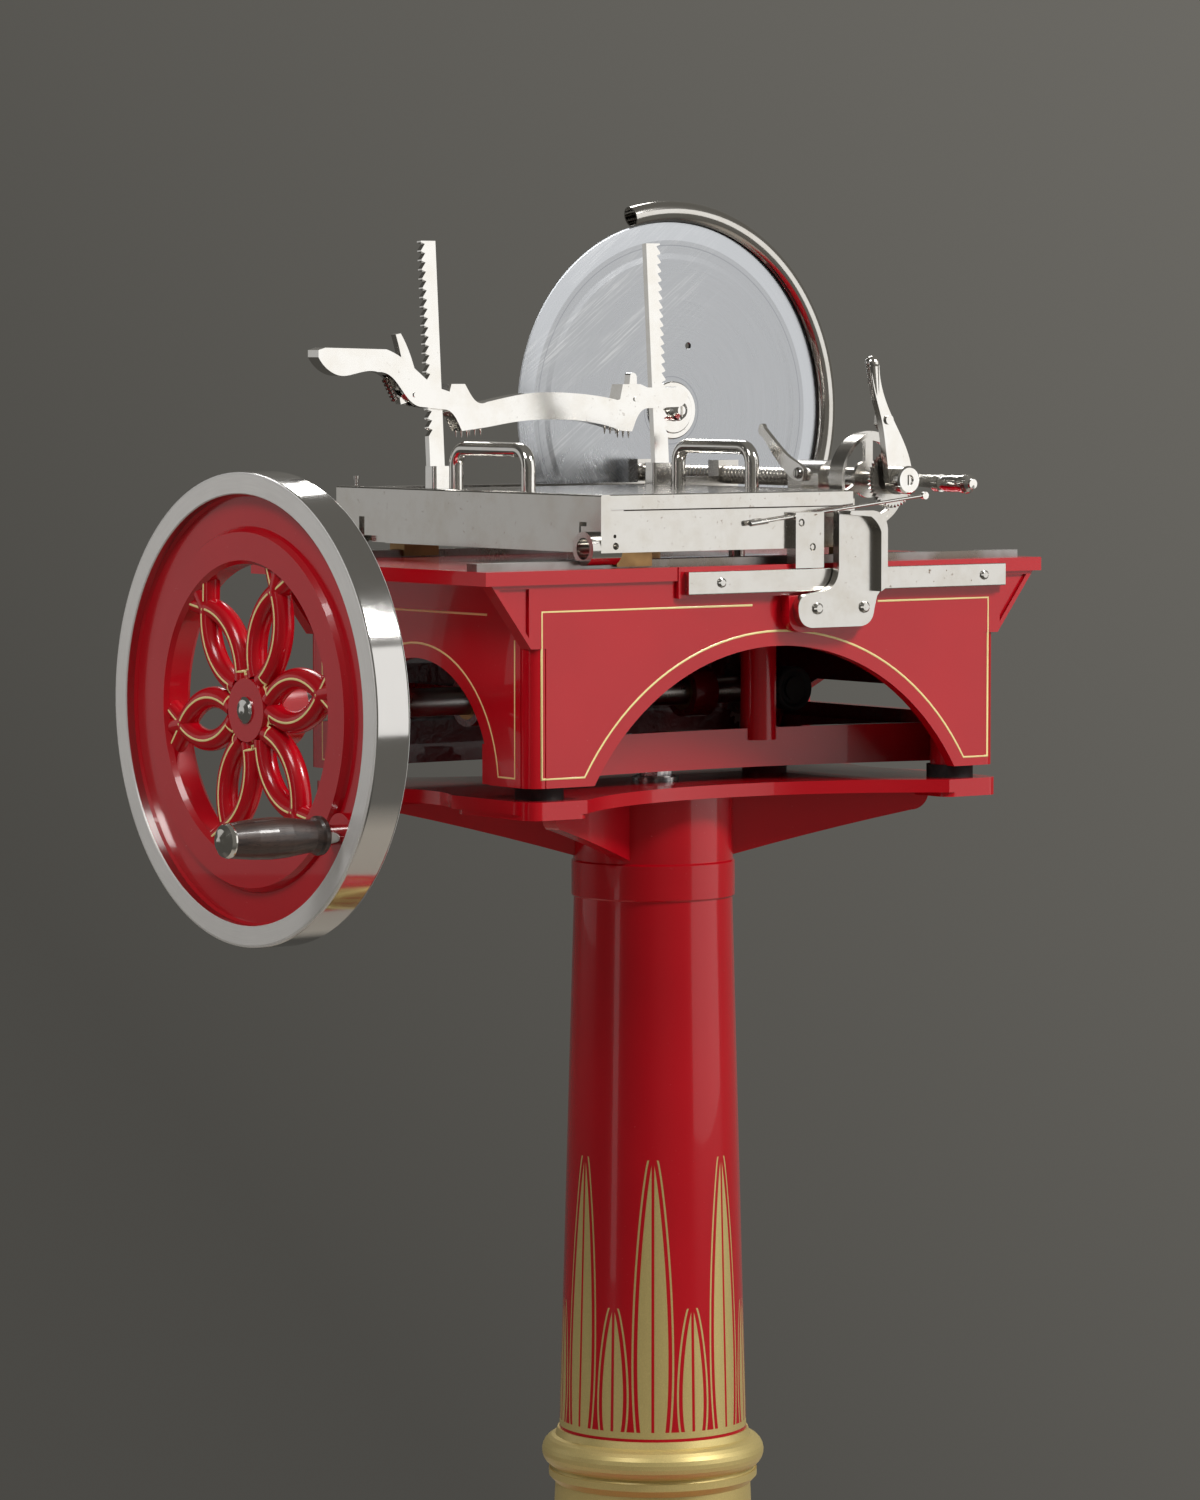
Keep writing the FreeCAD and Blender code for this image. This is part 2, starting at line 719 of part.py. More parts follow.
# ---------------------------------------------------------------- base
def corner_columns(x0, x1, y0, y1, z0, z1):
    """Round mouldings at a box's vertical corners."""
    inset = CORNER_R + 0.5
    return [rod((x, y, z0), (x, y, z1), CORNER_R)
            for x in (x0 + inset, x1 - inset) for y in (y0 + inset, y1 - inset)]


def base_casting():
    """The open box with arches, flange, gussets, hangers, bridges and feet."""
    z0, z1 = BASE_Z0, BASE_TOP
    shell = box(BASE_X0, BASE_X1, BASE_Y0, BASE_Y1, z0, z1)
    cuts = []
    for x in (BASE_X0, BASE_X1 - CORNER_CUT):
        for y in (BASE_Y0, BASE_Y1 - CORNER_CUT):
            cuts.append(box(x, x + CORNER_CUT, y, y + CORNER_CUT, z0 - 1, z1 - FLANGE_T))
    shell = cut(shell, cuts)
    shell = fuse([shell] + corner_columns(BASE_X0, BASE_X1, BASE_Y0, BASE_Y1, z0, z1 - 1))
    w = BASE_WALL
    hollow = box(BASE_X0 + w, BASE_X1 - w, BASE_Y0 + w, BASE_Y1 - w, z0 - 1, BASE_IN_TOP)
    arch = rod((ARCH_X, BASE_Y0 - 1, ARCH_Z), (ARCH_X, BASE_Y0 + w + 8, ARCH_Z), ARCH_R)
    end_arch = rod((BASE_X0 - 1, END_ARCH_Y, END_ARCH_Z), (BASE_X0 + w + 8, END_ARCH_Y, END_ARCH_Z),
                   END_ARCH_R)
    window = slab_yz(polygon([(WINDOW_Y0, z0 + WINDOW_RISE), (WINDOW_Y1, z0 + WINDOW_RISE),
                              (WINDOW_Y1, z0 + WINDOW_RISE + WINDOW_H * 0.5),
                              (WINDOW_Y1 - 22, z0 + WINDOW_RISE + WINDOW_H),
                              (WINDOW_Y0 + 22, z0 + WINDOW_RISE + WINDOW_H),
                              (WINDOW_Y0, z0 + WINDOW_RISE + WINDOW_H * 0.5)]),
                     BASE_X1 - w - 12, BASE_X1 + 1)
    shell = cut(shell, [hollow, arch, end_arch])
    flange = box(FLANGE_X0, FLANGE_X1, FLANGE_Y0, FLANGE_Y1, BASE_IN_TOP, BASE_TOP)
    rail_pad = box(FRONT_RAIL_X0 - 6, FRONT_RAIL_X1 + 4, FRONT_RAIL_Y, BASE_Y0 + 1,
                   FRONT_RAIL_Z0 - 3, BASE_TOP)
    foot_bosses = []
    for x, y in pad_centres():
        foot_bosses.append(rod((x, y, z0), (x, y, z0 + 50), BASE_BOLT_R + 12))
        xs = sorted((x, BASE_X0 + w / 2 if x < 0 else BASE_X1 - w / 2))
        ys = sorted((y, BASE_Y0 + w / 2 if y < 0 else BASE_Y1 - w / 2))
        foot_bosses.append(box(xs[0], xs[1], ys[0], ys[1], z0, z0 + 30))
    striker_pad = slab_xz(striker_outline(STRIKER_PAD), STRIKER_Y, BASE_Y0 + 1)
    shapes = [shell, flange, rail_pad, striker_pad] + foot_bosses
    shapes += base_gussets() + base_rails() + base_supports()
    base = fuse(shapes)
    return cut(base, [window] + base_holes())


def striker_outline(margin):
    """The raised pad behind the striker bracket's foot, larger than it by a margin."""
    x0 = STRIKER_X0 - margin
    x1 = STRIKER_X1 + margin
    z0 = STRIKER_Z0 - margin
    z1 = FRONT_RAIL_Z0 - 3
    r = 14.0
    k = r * (1 - math.cos(math.pi / 4))
    return [("line", [(x0 + r, z0), (x1 - r, z0)]),
            ("curve", [(x1 - k, z0 + k), (x1, z0 + r)]),
            ("line", [(x1, z1), (x0, z1), (x0, z0 + r)]),
            ("curve", [(x0 + k, z0 + k), (x0 + r, z0)])]


def base_gussets():
    """Triangles under the flange's ends, at the four corners."""
    shapes = []
    for side, sx in ((BASE_X0, -1), (BASE_X1, 1)):
        tip = side + sx * GUSSET_REACH
        wall = side - sx * CORNER_CUT
        outline = polygon([(tip, BASE_IN_TOP + 1), (wall, BASE_IN_TOP + 1),
                           (wall, BASE_IN_TOP - GUSSET_H), (side, BASE_IN_TOP - GUSSET_H)])
        recess = polygon([(tip - sx * 8, BASE_IN_TOP - 3), (side + sx * 2, BASE_IN_TOP - 3),
                          (side + sx * 2, BASE_IN_TOP - GUSSET_H + 9)])
        front = slab_xz(outline, BASE_Y0, BASE_Y0 + GUSSET_T)
        back = slab_xz(outline, BASE_Y1 - GUSSET_T, BASE_Y1)
        shapes.append(front.cut(slab_xz(recess, BASE_Y0 - 1, BASE_Y0 + 2.5)))
        shapes.append(back.cut(slab_xz(recess, BASE_Y1 - 2.5, BASE_Y1 + 1)))
    return shapes


def base_rails():
    """Thick lower edges of the rear and right walls, and the curved tie behind the front arch."""
    z0 = BASE_Z0
    inner_x0 = BASE_X0 + BASE_WALL
    inner_x1 = BASE_X1 - BASE_WALL
    inner_y = BASE_Y1 - BASE_WALL
    rear = box(inner_x0 - 1, inner_x1 + 1, inner_y - RAIL_T, inner_y + 1, z0, z0 + RAIL_H)
    right = box(inner_x1 - RAIL_T, inner_x1 + 1, BASE_Y0 + 4, inner_y + 1, z0, z0 + RAIL_H - 6)
    end0 = BASE_X0 + 4
    end1 = BASE_X1 - 4
    outer = Part.Arc(V(end0, TIE_END_Y, z0), V(BASE_MID_X, TIE_BACK_Y, z0), V(end1, TIE_END_Y, z0)).toShape()
    inner = Part.Arc(V(end1, TIE_END_Y + TIE_T, z0), V(BASE_MID_X, TIE_BACK_Y + TIE_T, z0),
                     V(end0, TIE_END_Y + TIE_T, z0)).toShape()
    sides = [Part.makeLine(V(end1, TIE_END_Y, z0), V(end1, TIE_END_Y + TIE_T, z0)),
             Part.makeLine(V(end0, TIE_END_Y + TIE_T, z0), V(end0, TIE_END_Y, z0))]
    tie = Part.Face(Part.Wire([outer, sides[0], inner, sides[1]])).extrude(V(0, 0, TIE_H))
    return [rear, right, tie]


def base_supports():
    """Cast arms and hangers that hold the bushes."""
    inner_y = BASE_Y1 - BASE_WALL + 1
    boss_r = SHAFT_R + BUSH_T + 6
    arms = []
    for x0, x1 in SHAFT_ARMS:
        arms.append(box(x0, x1, 0, inner_y, SHAFT_Z - 11, SHAFT_Z + 11))
        arms.append(rod((x0, 0, SHAFT_Z), (x1, 0, SHAFT_Z), boss_r))
    bridge = box(CRANK_X - BRIDGE_W / 2, CRANK_X + BRIDGE_W / 2, BASE_Y0 + 4, inner_y,
                 BRIDGE_Z, BRIDGE_Z + BRIDGE_T)
    bridge_boss = rod((CRANK_X, 0, BRIDGE_Z), (CRANK_X, 0, BRIDGE_Z + BRIDGE_T + 6), 24.0)
    knife_bridge = box(KNIFE_X - HANGER_R, KNIFE_X + HANGER_R, HANGER_Y - HANGER_R, inner_y,
                       BRIDGE_Z, BRIDGE_Z + BRIDGE_T)
    hanger = rod((KNIFE_X, HANGER_Y, SHAFT_Z - 20), (KNIFE_X, HANGER_Y, BRIDGE_Z + 1), HANGER_R)
    r = ARCH_POST_R
    arch_post = rod((ARCH_POST_X, ARCH_POST_Y, BASE_Z0 + TIE_H - 10),
                    (ARCH_POST_X, ARCH_POST_Y, BRIDGE_Z + BRIDGE_T), r)
    post_bridge = box(ARCH_POST_X - r, ARCH_POST_X + r, ARCH_POST_Y, inner_y, BRIDGE_Z, BRIDGE_Z + BRIDGE_T)
    return arms + [bridge, bridge_boss, knife_bridge, hanger, arch_post, post_bridge]


def base_holes():
    """Bores, the drive pin's slot, and screw and bolt holes of the base."""
    holes = []
    bush_r = SHAFT_R + BUSH_T + FIT
    for x0, x1 in SHAFT_ARMS:
        holes.append(rod((x0 - 1, 0, SHAFT_Z), (x1 + 1, 0, SHAFT_Z), bush_r))
    holes.append(rod((CRANK_X, 0, BRIDGE_Z - 1), (CRANK_X, 0, BRIDGE_Z + BRIDGE_T + 7),
                     CRANK_SHAFT_R + BUSH_T + FIT))
    cross_r = CROSS_R + BUSH_T + FIT
    holes.append(rod((KNIFE_X, HANGER_Y - HANGER_R - 1, SHAFT_Z),
                     (KNIFE_X, HANGER_Y + HANGER_R + 1, SHAFT_Z), cross_r - BUSH_T * 0.5))
    holes.append(rod((KNIFE_X, BASE_Y1 - BASE_WALL - RAIL_T - 1, SHAFT_Z),
                     (KNIFE_X, BASE_Y1 + 1, SHAFT_Z), cross_r))
    reach = STROKE + DRIVE_PIN_R + 4
    half = DRIVE_PIN_R + 3
    holes.append(box(DRIVE_PIN_X - reach, DRIVE_PIN_X + reach, -half, half, BASE_IN_TOP - 1,
                     BASE_TOP + 1))
    for x, y in pad_centres():
        holes.append(rod((x, y, BASE_Z0 - 1), (x, y, BASE_Z0 + 31), BASE_BOLT_R + FIT))
    for spot in rail_screw_spots():
        holes.append(screw_hole(spot, (0, -1, 0), RAIL_SCREW_R))
    for spot in striker_screw_spots():
        holes.append(screw_hole(spot, (0, -1, 0), STRIKER_SCREW_R, 14.0))
    for spot in bracket_bolt_spots():
        holes.append(rod(spot, (spot[0], BASE_Y1 - BASE_WALL - RAIL_T - 1, spot[2]), BASE_BOLT_R + FIT))
    return holes


def rail_screw_spots():
    """Screws of the front rail, on its face."""
    y = FRONT_RAIL_Y - FRONT_RAIL_T
    z = FRONT_RAIL_Z0 + FRONT_RAIL_H / 2
    return [(FRONT_RAIL_X0 + 34, y, z), (FRONT_RAIL_X1 - 24, y, z)]


def striker_screw_spots():
    """Screws of the striker bracket, on its face."""
    return [(x, STRIKER_Y - STRIKER_T, STRIKER_SCREW_Z) for x in STRIKER_SCREW_X]


def hex_bolts():
    """The head's middle bolt, the base's four bolts and the knife bracket's bolts."""
    z = PLATE_Z + PLATE_T - LOBE_T + BOLT_SINK
    length = LOBE_T - BOLT_SINK + PAD_T + 28
    bolts = [hex_bolt((x, y, z), (0, 0, 1), BASE_BOLT_R, length, BOLT_HEAD_T) for x, y in pad_centres()]
    bolts += [hex_bolt(s, (0, -1, 0), BASE_BOLT_R, BRACKET_T + BASE_WALL + 1, BOLT_HEAD_T)
              for s in bracket_bolt_spots()]
    return group(head_bolt() + bolts)


def front_rail():
    """The nickel rail that guides the carriage's block."""
    y1 = FRONT_RAIL_Y
    rail = box(FRONT_RAIL_X0, FRONT_RAIL_X1, y1 - FRONT_RAIL_T, y1, FRONT_RAIL_Z0,
               FRONT_RAIL_Z0 + FRONT_RAIL_H)
    rail = rail.makeFillet(0.8, [e for e in rail.Edges if e.Length > 100])
    return cut(rail, [screw_hole(s, (0, -1, 0), RAIL_SCREW_R) for s in rail_screw_spots()])


def striker_bracket():
    """The bracket that the feed lever strikes at the stroke's end."""
    y0 = STRIKER_Y - STRIKER_T
    foot_top = STRIKER_Z0 + STRIKER_FOOT_H
    r = 14.0
    outline = [("line", [(STRIKER_X0 + r, STRIKER_Z0), (STRIKER_X1 - r, STRIKER_Z0)]),
               ("curve", [(STRIKER_X1 - r * 0.3, STRIKER_Z0 + r * 0.3), (STRIKER_X1, STRIKER_Z0 + r)]),
               ("line", [(STRIKER_X1 + 3, foot_top - 6), (STRIKER_WEB_X1, foot_top),
                         (STRIKER_WEB_X1, STRIKER_TOP_Z - 16)]),
               ("curve", [(STRIKER_WEB_X1 - 4.7, STRIKER_TOP_Z - 4.7),
                          (STRIKER_WEB_X1 - 16, STRIKER_TOP_Z)]),
               ("line", [(STRIKER_WEB_X0, STRIKER_TOP_Z), (STRIKER_WEB_X0, foot_top + 18)]),
               ("curve", [(STRIKER_WEB_X0 - 5, foot_top + 5), (STRIKER_WEB_X0 - 18, foot_top - 1)]),
               ("line", [(STRIKER_X0 + 8, foot_top - 3)]),
               ("curve", [(STRIKER_X0 + 1.5, foot_top - 8), (STRIKER_X0, foot_top - 16)]),
               ("line", [(STRIKER_X0, STRIKER_Z0 + r)]),
               ("curve", [(STRIKER_X0 + r * 0.3, STRIKER_Z0 + r * 0.3), (STRIKER_X0 + r, STRIKER_Z0)])]
    web = slab_xz(outline, y0, STRIKER_Y)
    t = 7.0
    x1 = STRIKER_WEB_X1
    top = STRIKER_TOP_Z
    rim = [("line", [(x1 - t, foot_top - 2), (x1, foot_top + 2), (x1, top - 16)]),
           ("curve", [(x1 - 4.7, top - 4.7), (x1 - 16, top)]),
           ("line", [(x1 - 40, top), (x1 - 40, top - t + 4), (x1 - 18, top - t + 2)]),
           ("curve", [(x1 - t - 4, top - t - 4), (x1 - t, top - 18)])]
    flange = slab_xz(rim, y0 - STRIKER_FLANGE, y0 + 1)
    shape = fuse([web, flange])
    return cut(shape, [screw_hole(s, (0, -1, 0), STRIKER_SCREW_R, 14.0) for s in striker_screw_spots()])


def slotted_screws():
    """The screws of the front rail and the striker bracket."""
    screws = [slotted_screw(s, (0, -1, 0), RAIL_SCREW_R) for s in rail_screw_spots()]
    screws += [slotted_screw(s, (0, -1, 0), STRIKER_SCREW_R, 3.0, 14.0) for s in striker_screw_spots()]
    return group(screws)


def slide_rails():
    """Two steel bars on the base's top that carry the carriage."""
    half = SLIDE_RAIL_W / 2
    return group([box(FLANGE_X0 + 6, FLANGE_X1 - 9, y - half, y + half, BASE_TOP, RAIL_TOP)
                  for y in SLIDE_RAIL_YS])


def bronze_bushes():
    """Bronze bushes of the flywheel shaft, crank shaft, cross shaft and blade shaft."""
    bushes = [pipe((x0, 0, SHAFT_Z), (x1, 0, SHAFT_Z), SHAFT_R + BUSH_T, SHAFT_R + RUN)
              for x0, x1 in SHAFT_ARMS]
    bushes.append(pipe((CRANK_X, 0, BRIDGE_Z), (CRANK_X, 0, BRIDGE_Z + BRIDGE_T + 6),
                       CRANK_SHAFT_R + BUSH_T, CRANK_SHAFT_R + RUN))
    bushes.append(pipe((KNIFE_X, HANGER_Y - HANGER_R + 3, SHAFT_Z), (KNIFE_X, HANGER_Y + HANGER_R - 3,
                       SHAFT_Z), CROSS_R + BUSH_T * 0.5, CROSS_R + RUN))
    bushes.append(pipe((KNIFE_X, BASE_Y1 - BASE_WALL - RAIL_T, SHAFT_Z), (KNIFE_X, BASE_Y1, SHAFT_Z),
                       CROSS_R + BUSH_T, CROSS_R + RUN))
    bushes.append(pipe((BLADE_X, BRACKET_Y - 4, BLADE_Z), (BLADE_X, BRACKET_Y + BRACKET_T, BLADE_Z),
                       BEARING_R, BLADE_SHAFT_R + RUN))
    return group(bushes)


# ---------------------------------------------------------------- drive line
def flywheel_shaft():
    """The steel shaft from the flywheel to the knife drive gear."""
    shaft = rod((WHEEL_BACK - WHEEL_HUB_L + 20, 0, SHAFT_Z), (SHAFT_END_X, 0, SHAFT_Z), SHAFT_R)
    thread = rod((HUB_FACE - 2, 0, SHAFT_Z), (WHEEL_BACK, 0, SHAFT_Z), HUB_NUT_R * 0.6)
    return fuse([shaft, thread])


def geared_hub(gear, centre, axis, pitch_r, apex_dist, hub_r, hub_l, bore):
    """A bevel gear with a hub behind it and a bore through both."""
    hub = Part.makeCylinder(hub_r, hub_l + 1, V(0, 0, -apex_dist - hub_l))
    hole = Part.makeCylinder(bore, apex_dist + hub_l + pitch_r, V(0, 0, -apex_dist - hub_l - 1))
    return placed(fuse([gear, hub]).cut(hole), centre, axis)


def crank_drive_gear():
    """Mitre gear on the flywheel shaft."""
    gear = bevel_gear(CRANK_PITCH_R, CRANK_TEETH, CRANK_PITCH_R, CRANK_FACE, 0.0)
    return geared_hub(gear, (CRANK_X, 0, SHAFT_Z), (1, 0, 0), CRANK_PITCH_R, CRANK_PITCH_R, 20.0, 12.0,
                      SHAFT_R + FIT)


def crank_gear():
    """Mitre gear on the vertical crank shaft."""
    gear = bevel_gear(CRANK_PITCH_R, CRANK_TEETH, CRANK_PITCH_R, CRANK_FACE, 0.5)
    return geared_hub(gear, (CRANK_X, 0, SHAFT_Z), (0, 0, -1), CRANK_PITCH_R, CRANK_PITCH_R, 20.0,
                      BRIDGE_Z - SHAFT_Z - CRANK_PITCH_R - 1.0, CRANK_SHAFT_R + FIT)


def crank_pin_at():
    """Where the crank pin stands at rest, with the carriage in the middle of its stroke."""
    share = (ROD_L ** 2 + CRANK_R ** 2 - ROD_L ** 2) / (2 * ROD_L * CRANK_R)
    turn = math.acos(share)
    return (CRANK_X + CRANK_R * math.cos(turn), CRANK_R * math.sin(turn))


def crank_disc():
    """The disc with its shaft, the crank pin and lightening holes."""
    shrink = 1 - CRANK_FACE / (CRANK_PITCH_R * math.sqrt(2))
    shaft = rod((CRANK_X, 0, SHAFT_Z + CRANK_PITCH_R * shrink), (CRANK_X, 0, CRANK_DISC_Z + 1), CRANK_SHAFT_R)
    disc = rod((CRANK_X, 0, CRANK_DISC_Z), (CRANK_X, 0, CRANK_DISC_Z + CRANK_DISC_T), CRANK_R + 12)
    px, py = crank_pin_at()
    top = CRANK_DISC_Z + CRANK_DISC_T
    pin = rod((px, py, top - 1), (px, py, top + CRANK_PIN_H), CRANK_PIN_R)
    start = math.degrees(math.atan2(py, px - CRANK_X))
    holes = []
    for k in range(1, 6):
        hx, hy = polar(CRANK_X, 0, CRANK_R * 0.58, start + 60 * k)
        holes.append(rod((hx, hy, CRANK_DISC_Z - 1), (hx, hy, top + 1), 20.0))
    return cut(fuse([disc, shaft, pin]), holes)


def connecting_rod():
    """The rod from the crank pin to the carriage's drive pin."""
    px, py = crank_pin_at()
    dx, dy = px - DRIVE_PIN_X, py
    length = math.hypot(dx, dy)
    bar = box(0, length, -ROD_W / 2, ROD_W / 2, ROD_Z, ROD_Z + ROD_T)
    bar.rotate(V(0, 0, 0), Z_AXIS, math.degrees(math.atan2(dy, dx)))
    bar.translate(V(DRIVE_PIN_X, 0, 0))
    eyes = [rod((x, y, ROD_Z), (x, y, ROD_Z + ROD_T), ROD_EYE_R) for x, y in ((DRIVE_PIN_X, 0), (px, py))]
    holes = [rod((DRIVE_PIN_X, 0, ROD_Z - 1), (DRIVE_PIN_X, 0, ROD_Z + ROD_T + 1), DRIVE_PIN_R + RUN),
             rod((px, py, ROD_Z - 1), (px, py, ROD_Z + ROD_T + 1), CRANK_PIN_R + 1.0)]
    return cut(fuse([bar] + eyes), holes)


def knife_drive_gear():
    """Bevel gear at the flywheel shaft's end."""
    gear = bevel_gear(GEAR_PITCH_R, KNIFE_GEAR_TEETH, PINION_PITCH_R, KNIFE_FACE, 0.0)
    return geared_hub(gear, (KNIFE_X, 0, SHAFT_Z), (1, 0, 0), GEAR_PITCH_R, PINION_PITCH_R, 22.0, 14.0,
                      SHAFT_R + FIT)


def knife_pinion():
    """Bevel pinion on the cross shaft."""
    gear = bevel_gear(PINION_PITCH_R, KNIFE_PINION_TEETH, GEAR_PITCH_R, KNIFE_FACE, 0.0)
    return geared_hub(gear, (KNIFE_X, 0, SHAFT_Z), (0, -1, 0), PINION_PITCH_R, GEAR_PITCH_R, 16.0, 9.0,
                      CROSS_R + FIT)


def cross_shaft():
    """The shaft along Y that drives the lower sprocket, with a round cap on its front end."""
    shaft = rod((KNIFE_X, CROSS_FRONT_Y + 5, SHAFT_Z), (KNIFE_X, CHAIN_Y + SPROCKET_T, SHAFT_Z), CROSS_R)
    profile = [(0, 0), (10, 0), (10, 3), (13, 3), (16, 0), (CROSS_CAP_R - 1.5, 0), (CROSS_CAP_R, 1.5),
               (CROSS_CAP_R, CROSS_CAP_L - 1.5), (CROSS_CAP_R - 1.5, CROSS_CAP_L), (0, CROSS_CAP_L)]
    return fuse([shaft, turned(profile, (KNIFE_X, CROSS_FRONT_Y, SHAFT_Z), (0, 1, 0))])


def sprocket(centre_x, centre_z, chain_r, teeth, bore):
    """A chain sprocket in the chain's plane."""
    pitch_r = chain_r - 1.6
    ring = [V(r * math.cos(a), r * math.sin(a), -SPROCKET_T / 2)
            for r, a in gear_points(pitch_r, teeth, 0.0, 0.4, 0.7, 0.9)]
    wheel = Part.Face(Part.makePolygon(ring + ring[:1])).extrude(V(0, 0, SPROCKET_T))
    hole = Part.makeCylinder(bore, SPROCKET_T + 2, V(0, 0, -SPROCKET_T / 2 - 1))
    return placed(wheel.cut(hole), (centre_x, CHAIN_Y, centre_z), (0, 1, 0))


def lower_sprocket():
    """The large sprocket on the cross shaft."""
    return sprocket(KNIFE_X, SHAFT_Z, LOW_SPROCKET_R, LOW_SPROCKET_TEETH, CROSS_R + FIT)


def upper_sprocket():
    """The small sprocket on the blade shaft."""
    return sprocket(BLADE_X, BLADE_Z, TOP_SPROCKET_R, TOP_SPROCKET_TEETH, BLADE_SHAFT_R + FIT)


def chain_hull(extra, y0, y1):
    """The hull of the two sprockets' circles grown by extra, from y0 to y1."""
    ra = LOW_SPROCKET_R + extra
    rb = TOP_SPROCKET_R + extra
    dx = BLADE_X - KNIFE_X
    dz = BLADE_Z - SHAFT_Z
    along = math.atan2(dz, dx)
    side = math.acos((ra - rb) / math.hypot(dx, dz))
    left = [polar(KNIFE_X, SHAFT_Z, ra, math.degrees(along + side)),
            polar(BLADE_X, BLADE_Z, rb, math.degrees(along + side))]
    right = [polar(BLADE_X, BLADE_Z, rb, math.degrees(along - side)),
             polar(KNIFE_X, SHAFT_Z, ra, math.degrees(along - side))]
    middle = slab_xz(polygon(left + right), y0, y1)
    ends = [rod((KNIFE_X, y0, SHAFT_Z), (KNIFE_X, y1, SHAFT_Z), ra),
            rod((BLADE_X, y0, BLADE_Z), (BLADE_X, y1, BLADE_Z), rb)]
    return fuse([middle] + ends)


def drive_chain():
    """The chain as a closed band."""
    y0 = CHAIN_Y - CHAIN_W / 2
    y1 = CHAIN_Y + CHAIN_W / 2
    return chain_hull(CHAIN_GAP + CHAIN_T, y0, y1).cut(chain_hull(CHAIN_GAP, y0 - 1, y1 + 1))


def chain_cover():
    """The shell over the chain, closed at the back."""
    y0 = BRACKET_Y + BRACKET_T
    room = CHAIN_GAP + CHAIN_T + COVER_ROOM
    inner = chain_hull(room, y0 - 1, COVER_END_Y - COVER_WALL)
    return chain_hull(room + COVER_WALL, y0, COVER_END_Y).cut(inner)


# ---------------------------------------------------------------- knife bracket and blade
def bracket_bolt_spots():
    """Bolts of the knife bracket, on its flange's rear face."""
    y = BASE_Y1 + 12
    return [(x, y, z) for x in (BRACKET_X0 + 12, BRACKET_X1 - 12) for z in (BRACKET_Z0 + 25, BRACKET_Z1 - 14)]


def knife_bracket():
    """The casting behind the base that carries the blade."""
    flange = box(BRACKET_X0, BRACKET_X1, BASE_Y1, BASE_Y1 + 12, BRACKET_Z0, BRACKET_Z1)
    webs = [box(x, x + 12, BASE_Y1 + 11, BRACKET_Y + 1, BRACKET_Z0, BRACKET_Z1)
            for x in (BRACKET_X0 + 26, BRACKET_X1 - 38)]
    floor = box(BRACKET_X0 + 26, BRACKET_X1 - 26, BASE_Y1 + 11, BRACKET_Y + 1, BRACKET_Z0, BRACKET_Z0 + 10)
    low = SHAFT_Z - LOW_SPROCKET_R - CHAIN_T - COVER_ROOM - COVER_WALL - 6
    plate = slab_xz(polygon([(BRACKET_X0, low), (BRACKET_X1, low), (BRACKET_X1, 990),
                             (BLADE_X + BRACKET_BOSS_R, BLADE_Z), (BLADE_X - BRACKET_BOSS_R, BLADE_Z),
                             (BRACKET_X0, 990)]), BRACKET_Y, BRACKET_Y + BRACKET_T)
    boss = rod((BLADE_X, BRACKET_Y - 4, BLADE_Z), (BLADE_X, BRACKET_Y + BRACKET_T, BLADE_Z), BRACKET_BOSS_R)
    body = fuse([flange, floor, plate, boss] + webs)
    holes = [rod((BLADE_X, BRACKET_Y - 5, BLADE_Z), (BLADE_X, BRACKET_Y + BRACKET_T + 1, BLADE_Z),
                 BEARING_R + FIT),
             rod((KNIFE_X, BASE_Y1 - 1, SHAFT_Z), (KNIFE_X, BRACKET_Y + BRACKET_T + 1, SHAFT_Z),
                 CROSS_R + 0.5)]
    for spot in bracket_bolt_spots():
        holes.append(rod((spot[0], spot[1] + 1, spot[2]), (spot[0], BASE_Y1 - 1, spot[2]), BASE_BOLT_R + FIT))
    return cut(body, holes)


def blade():
    """The round knife: flat front with a shallow dish, bevelled edge."""
    front = -BLADE_T / 2
    profile = [(BLADE_SHAFT_R + FIT, front), (BLADE_R * 0.80, front), (BLADE_R * 0.83, front + 0.6),
               (BLADE_R - BEVEL_W, front + 0.6), (BLADE_R - 1.0, front + 1.4),
               (BLADE_R, front + 1.4 + EDGE_T / 2),
               (BLADE_R - 1.0, front + 1.4 + EDGE_T), (BLADE_R - BEVEL_W, -front),
               (BLADE_SHAFT_R + FIT, -front)]
    disc = turned(profile, (BLADE_X, BLADE_Y, BLADE_Z), (0, 1, 0))
    hx = BLADE_X + BLADE_HOLE_AT[0]
    hz = BLADE_Z + BLADE_HOLE_AT[1]
    return disc.cut(rod((hx, BLADE_Y - 5, hz), (hx, BLADE_Y + 5, hz), BLADE_HOLE_R))


def blade_hub_ring():
    """The ring on the blade's front face."""
    profile = [(BLADE_SHAFT_R + FIT, 0), (HUB_R - 6, 0), (HUB_R - 5, 1), (HUB_R - 1, 1.2), (HUB_R, 2.2),
               (HUB_R, HUB_T), (BLADE_SHAFT_R + FIT, HUB_T)]
    return turned(profile, (BLADE_X, BLADE_FACE - HUB_T, BLADE_Z), (0, 1, 0))


def blade_nut():
    """The round slotted nut in the blade's middle."""
    y1 = BLADE_FACE - HUB_T
    y0 = y1 - BLADE_NUT_L
    profile = [(0, 0), (BLADE_NUT_R * 0.45, 0.4), (BLADE_NUT_R * 0.85, 2.6), (BLADE_NUT_R, 5.5),
               (BLADE_NUT_R, BLADE_NUT_L), (0, BLADE_NUT_L)]
    nut = turned(profile, (BLADE_X, y0, BLADE_Z), (0, 1, 0))
    slot = box(BLADE_X - 1.4, BLADE_X + 1.4, y0 - 1, y0 + 3.4, BLADE_Z - 12, BLADE_Z + 12)
    return nut.cut(slot)


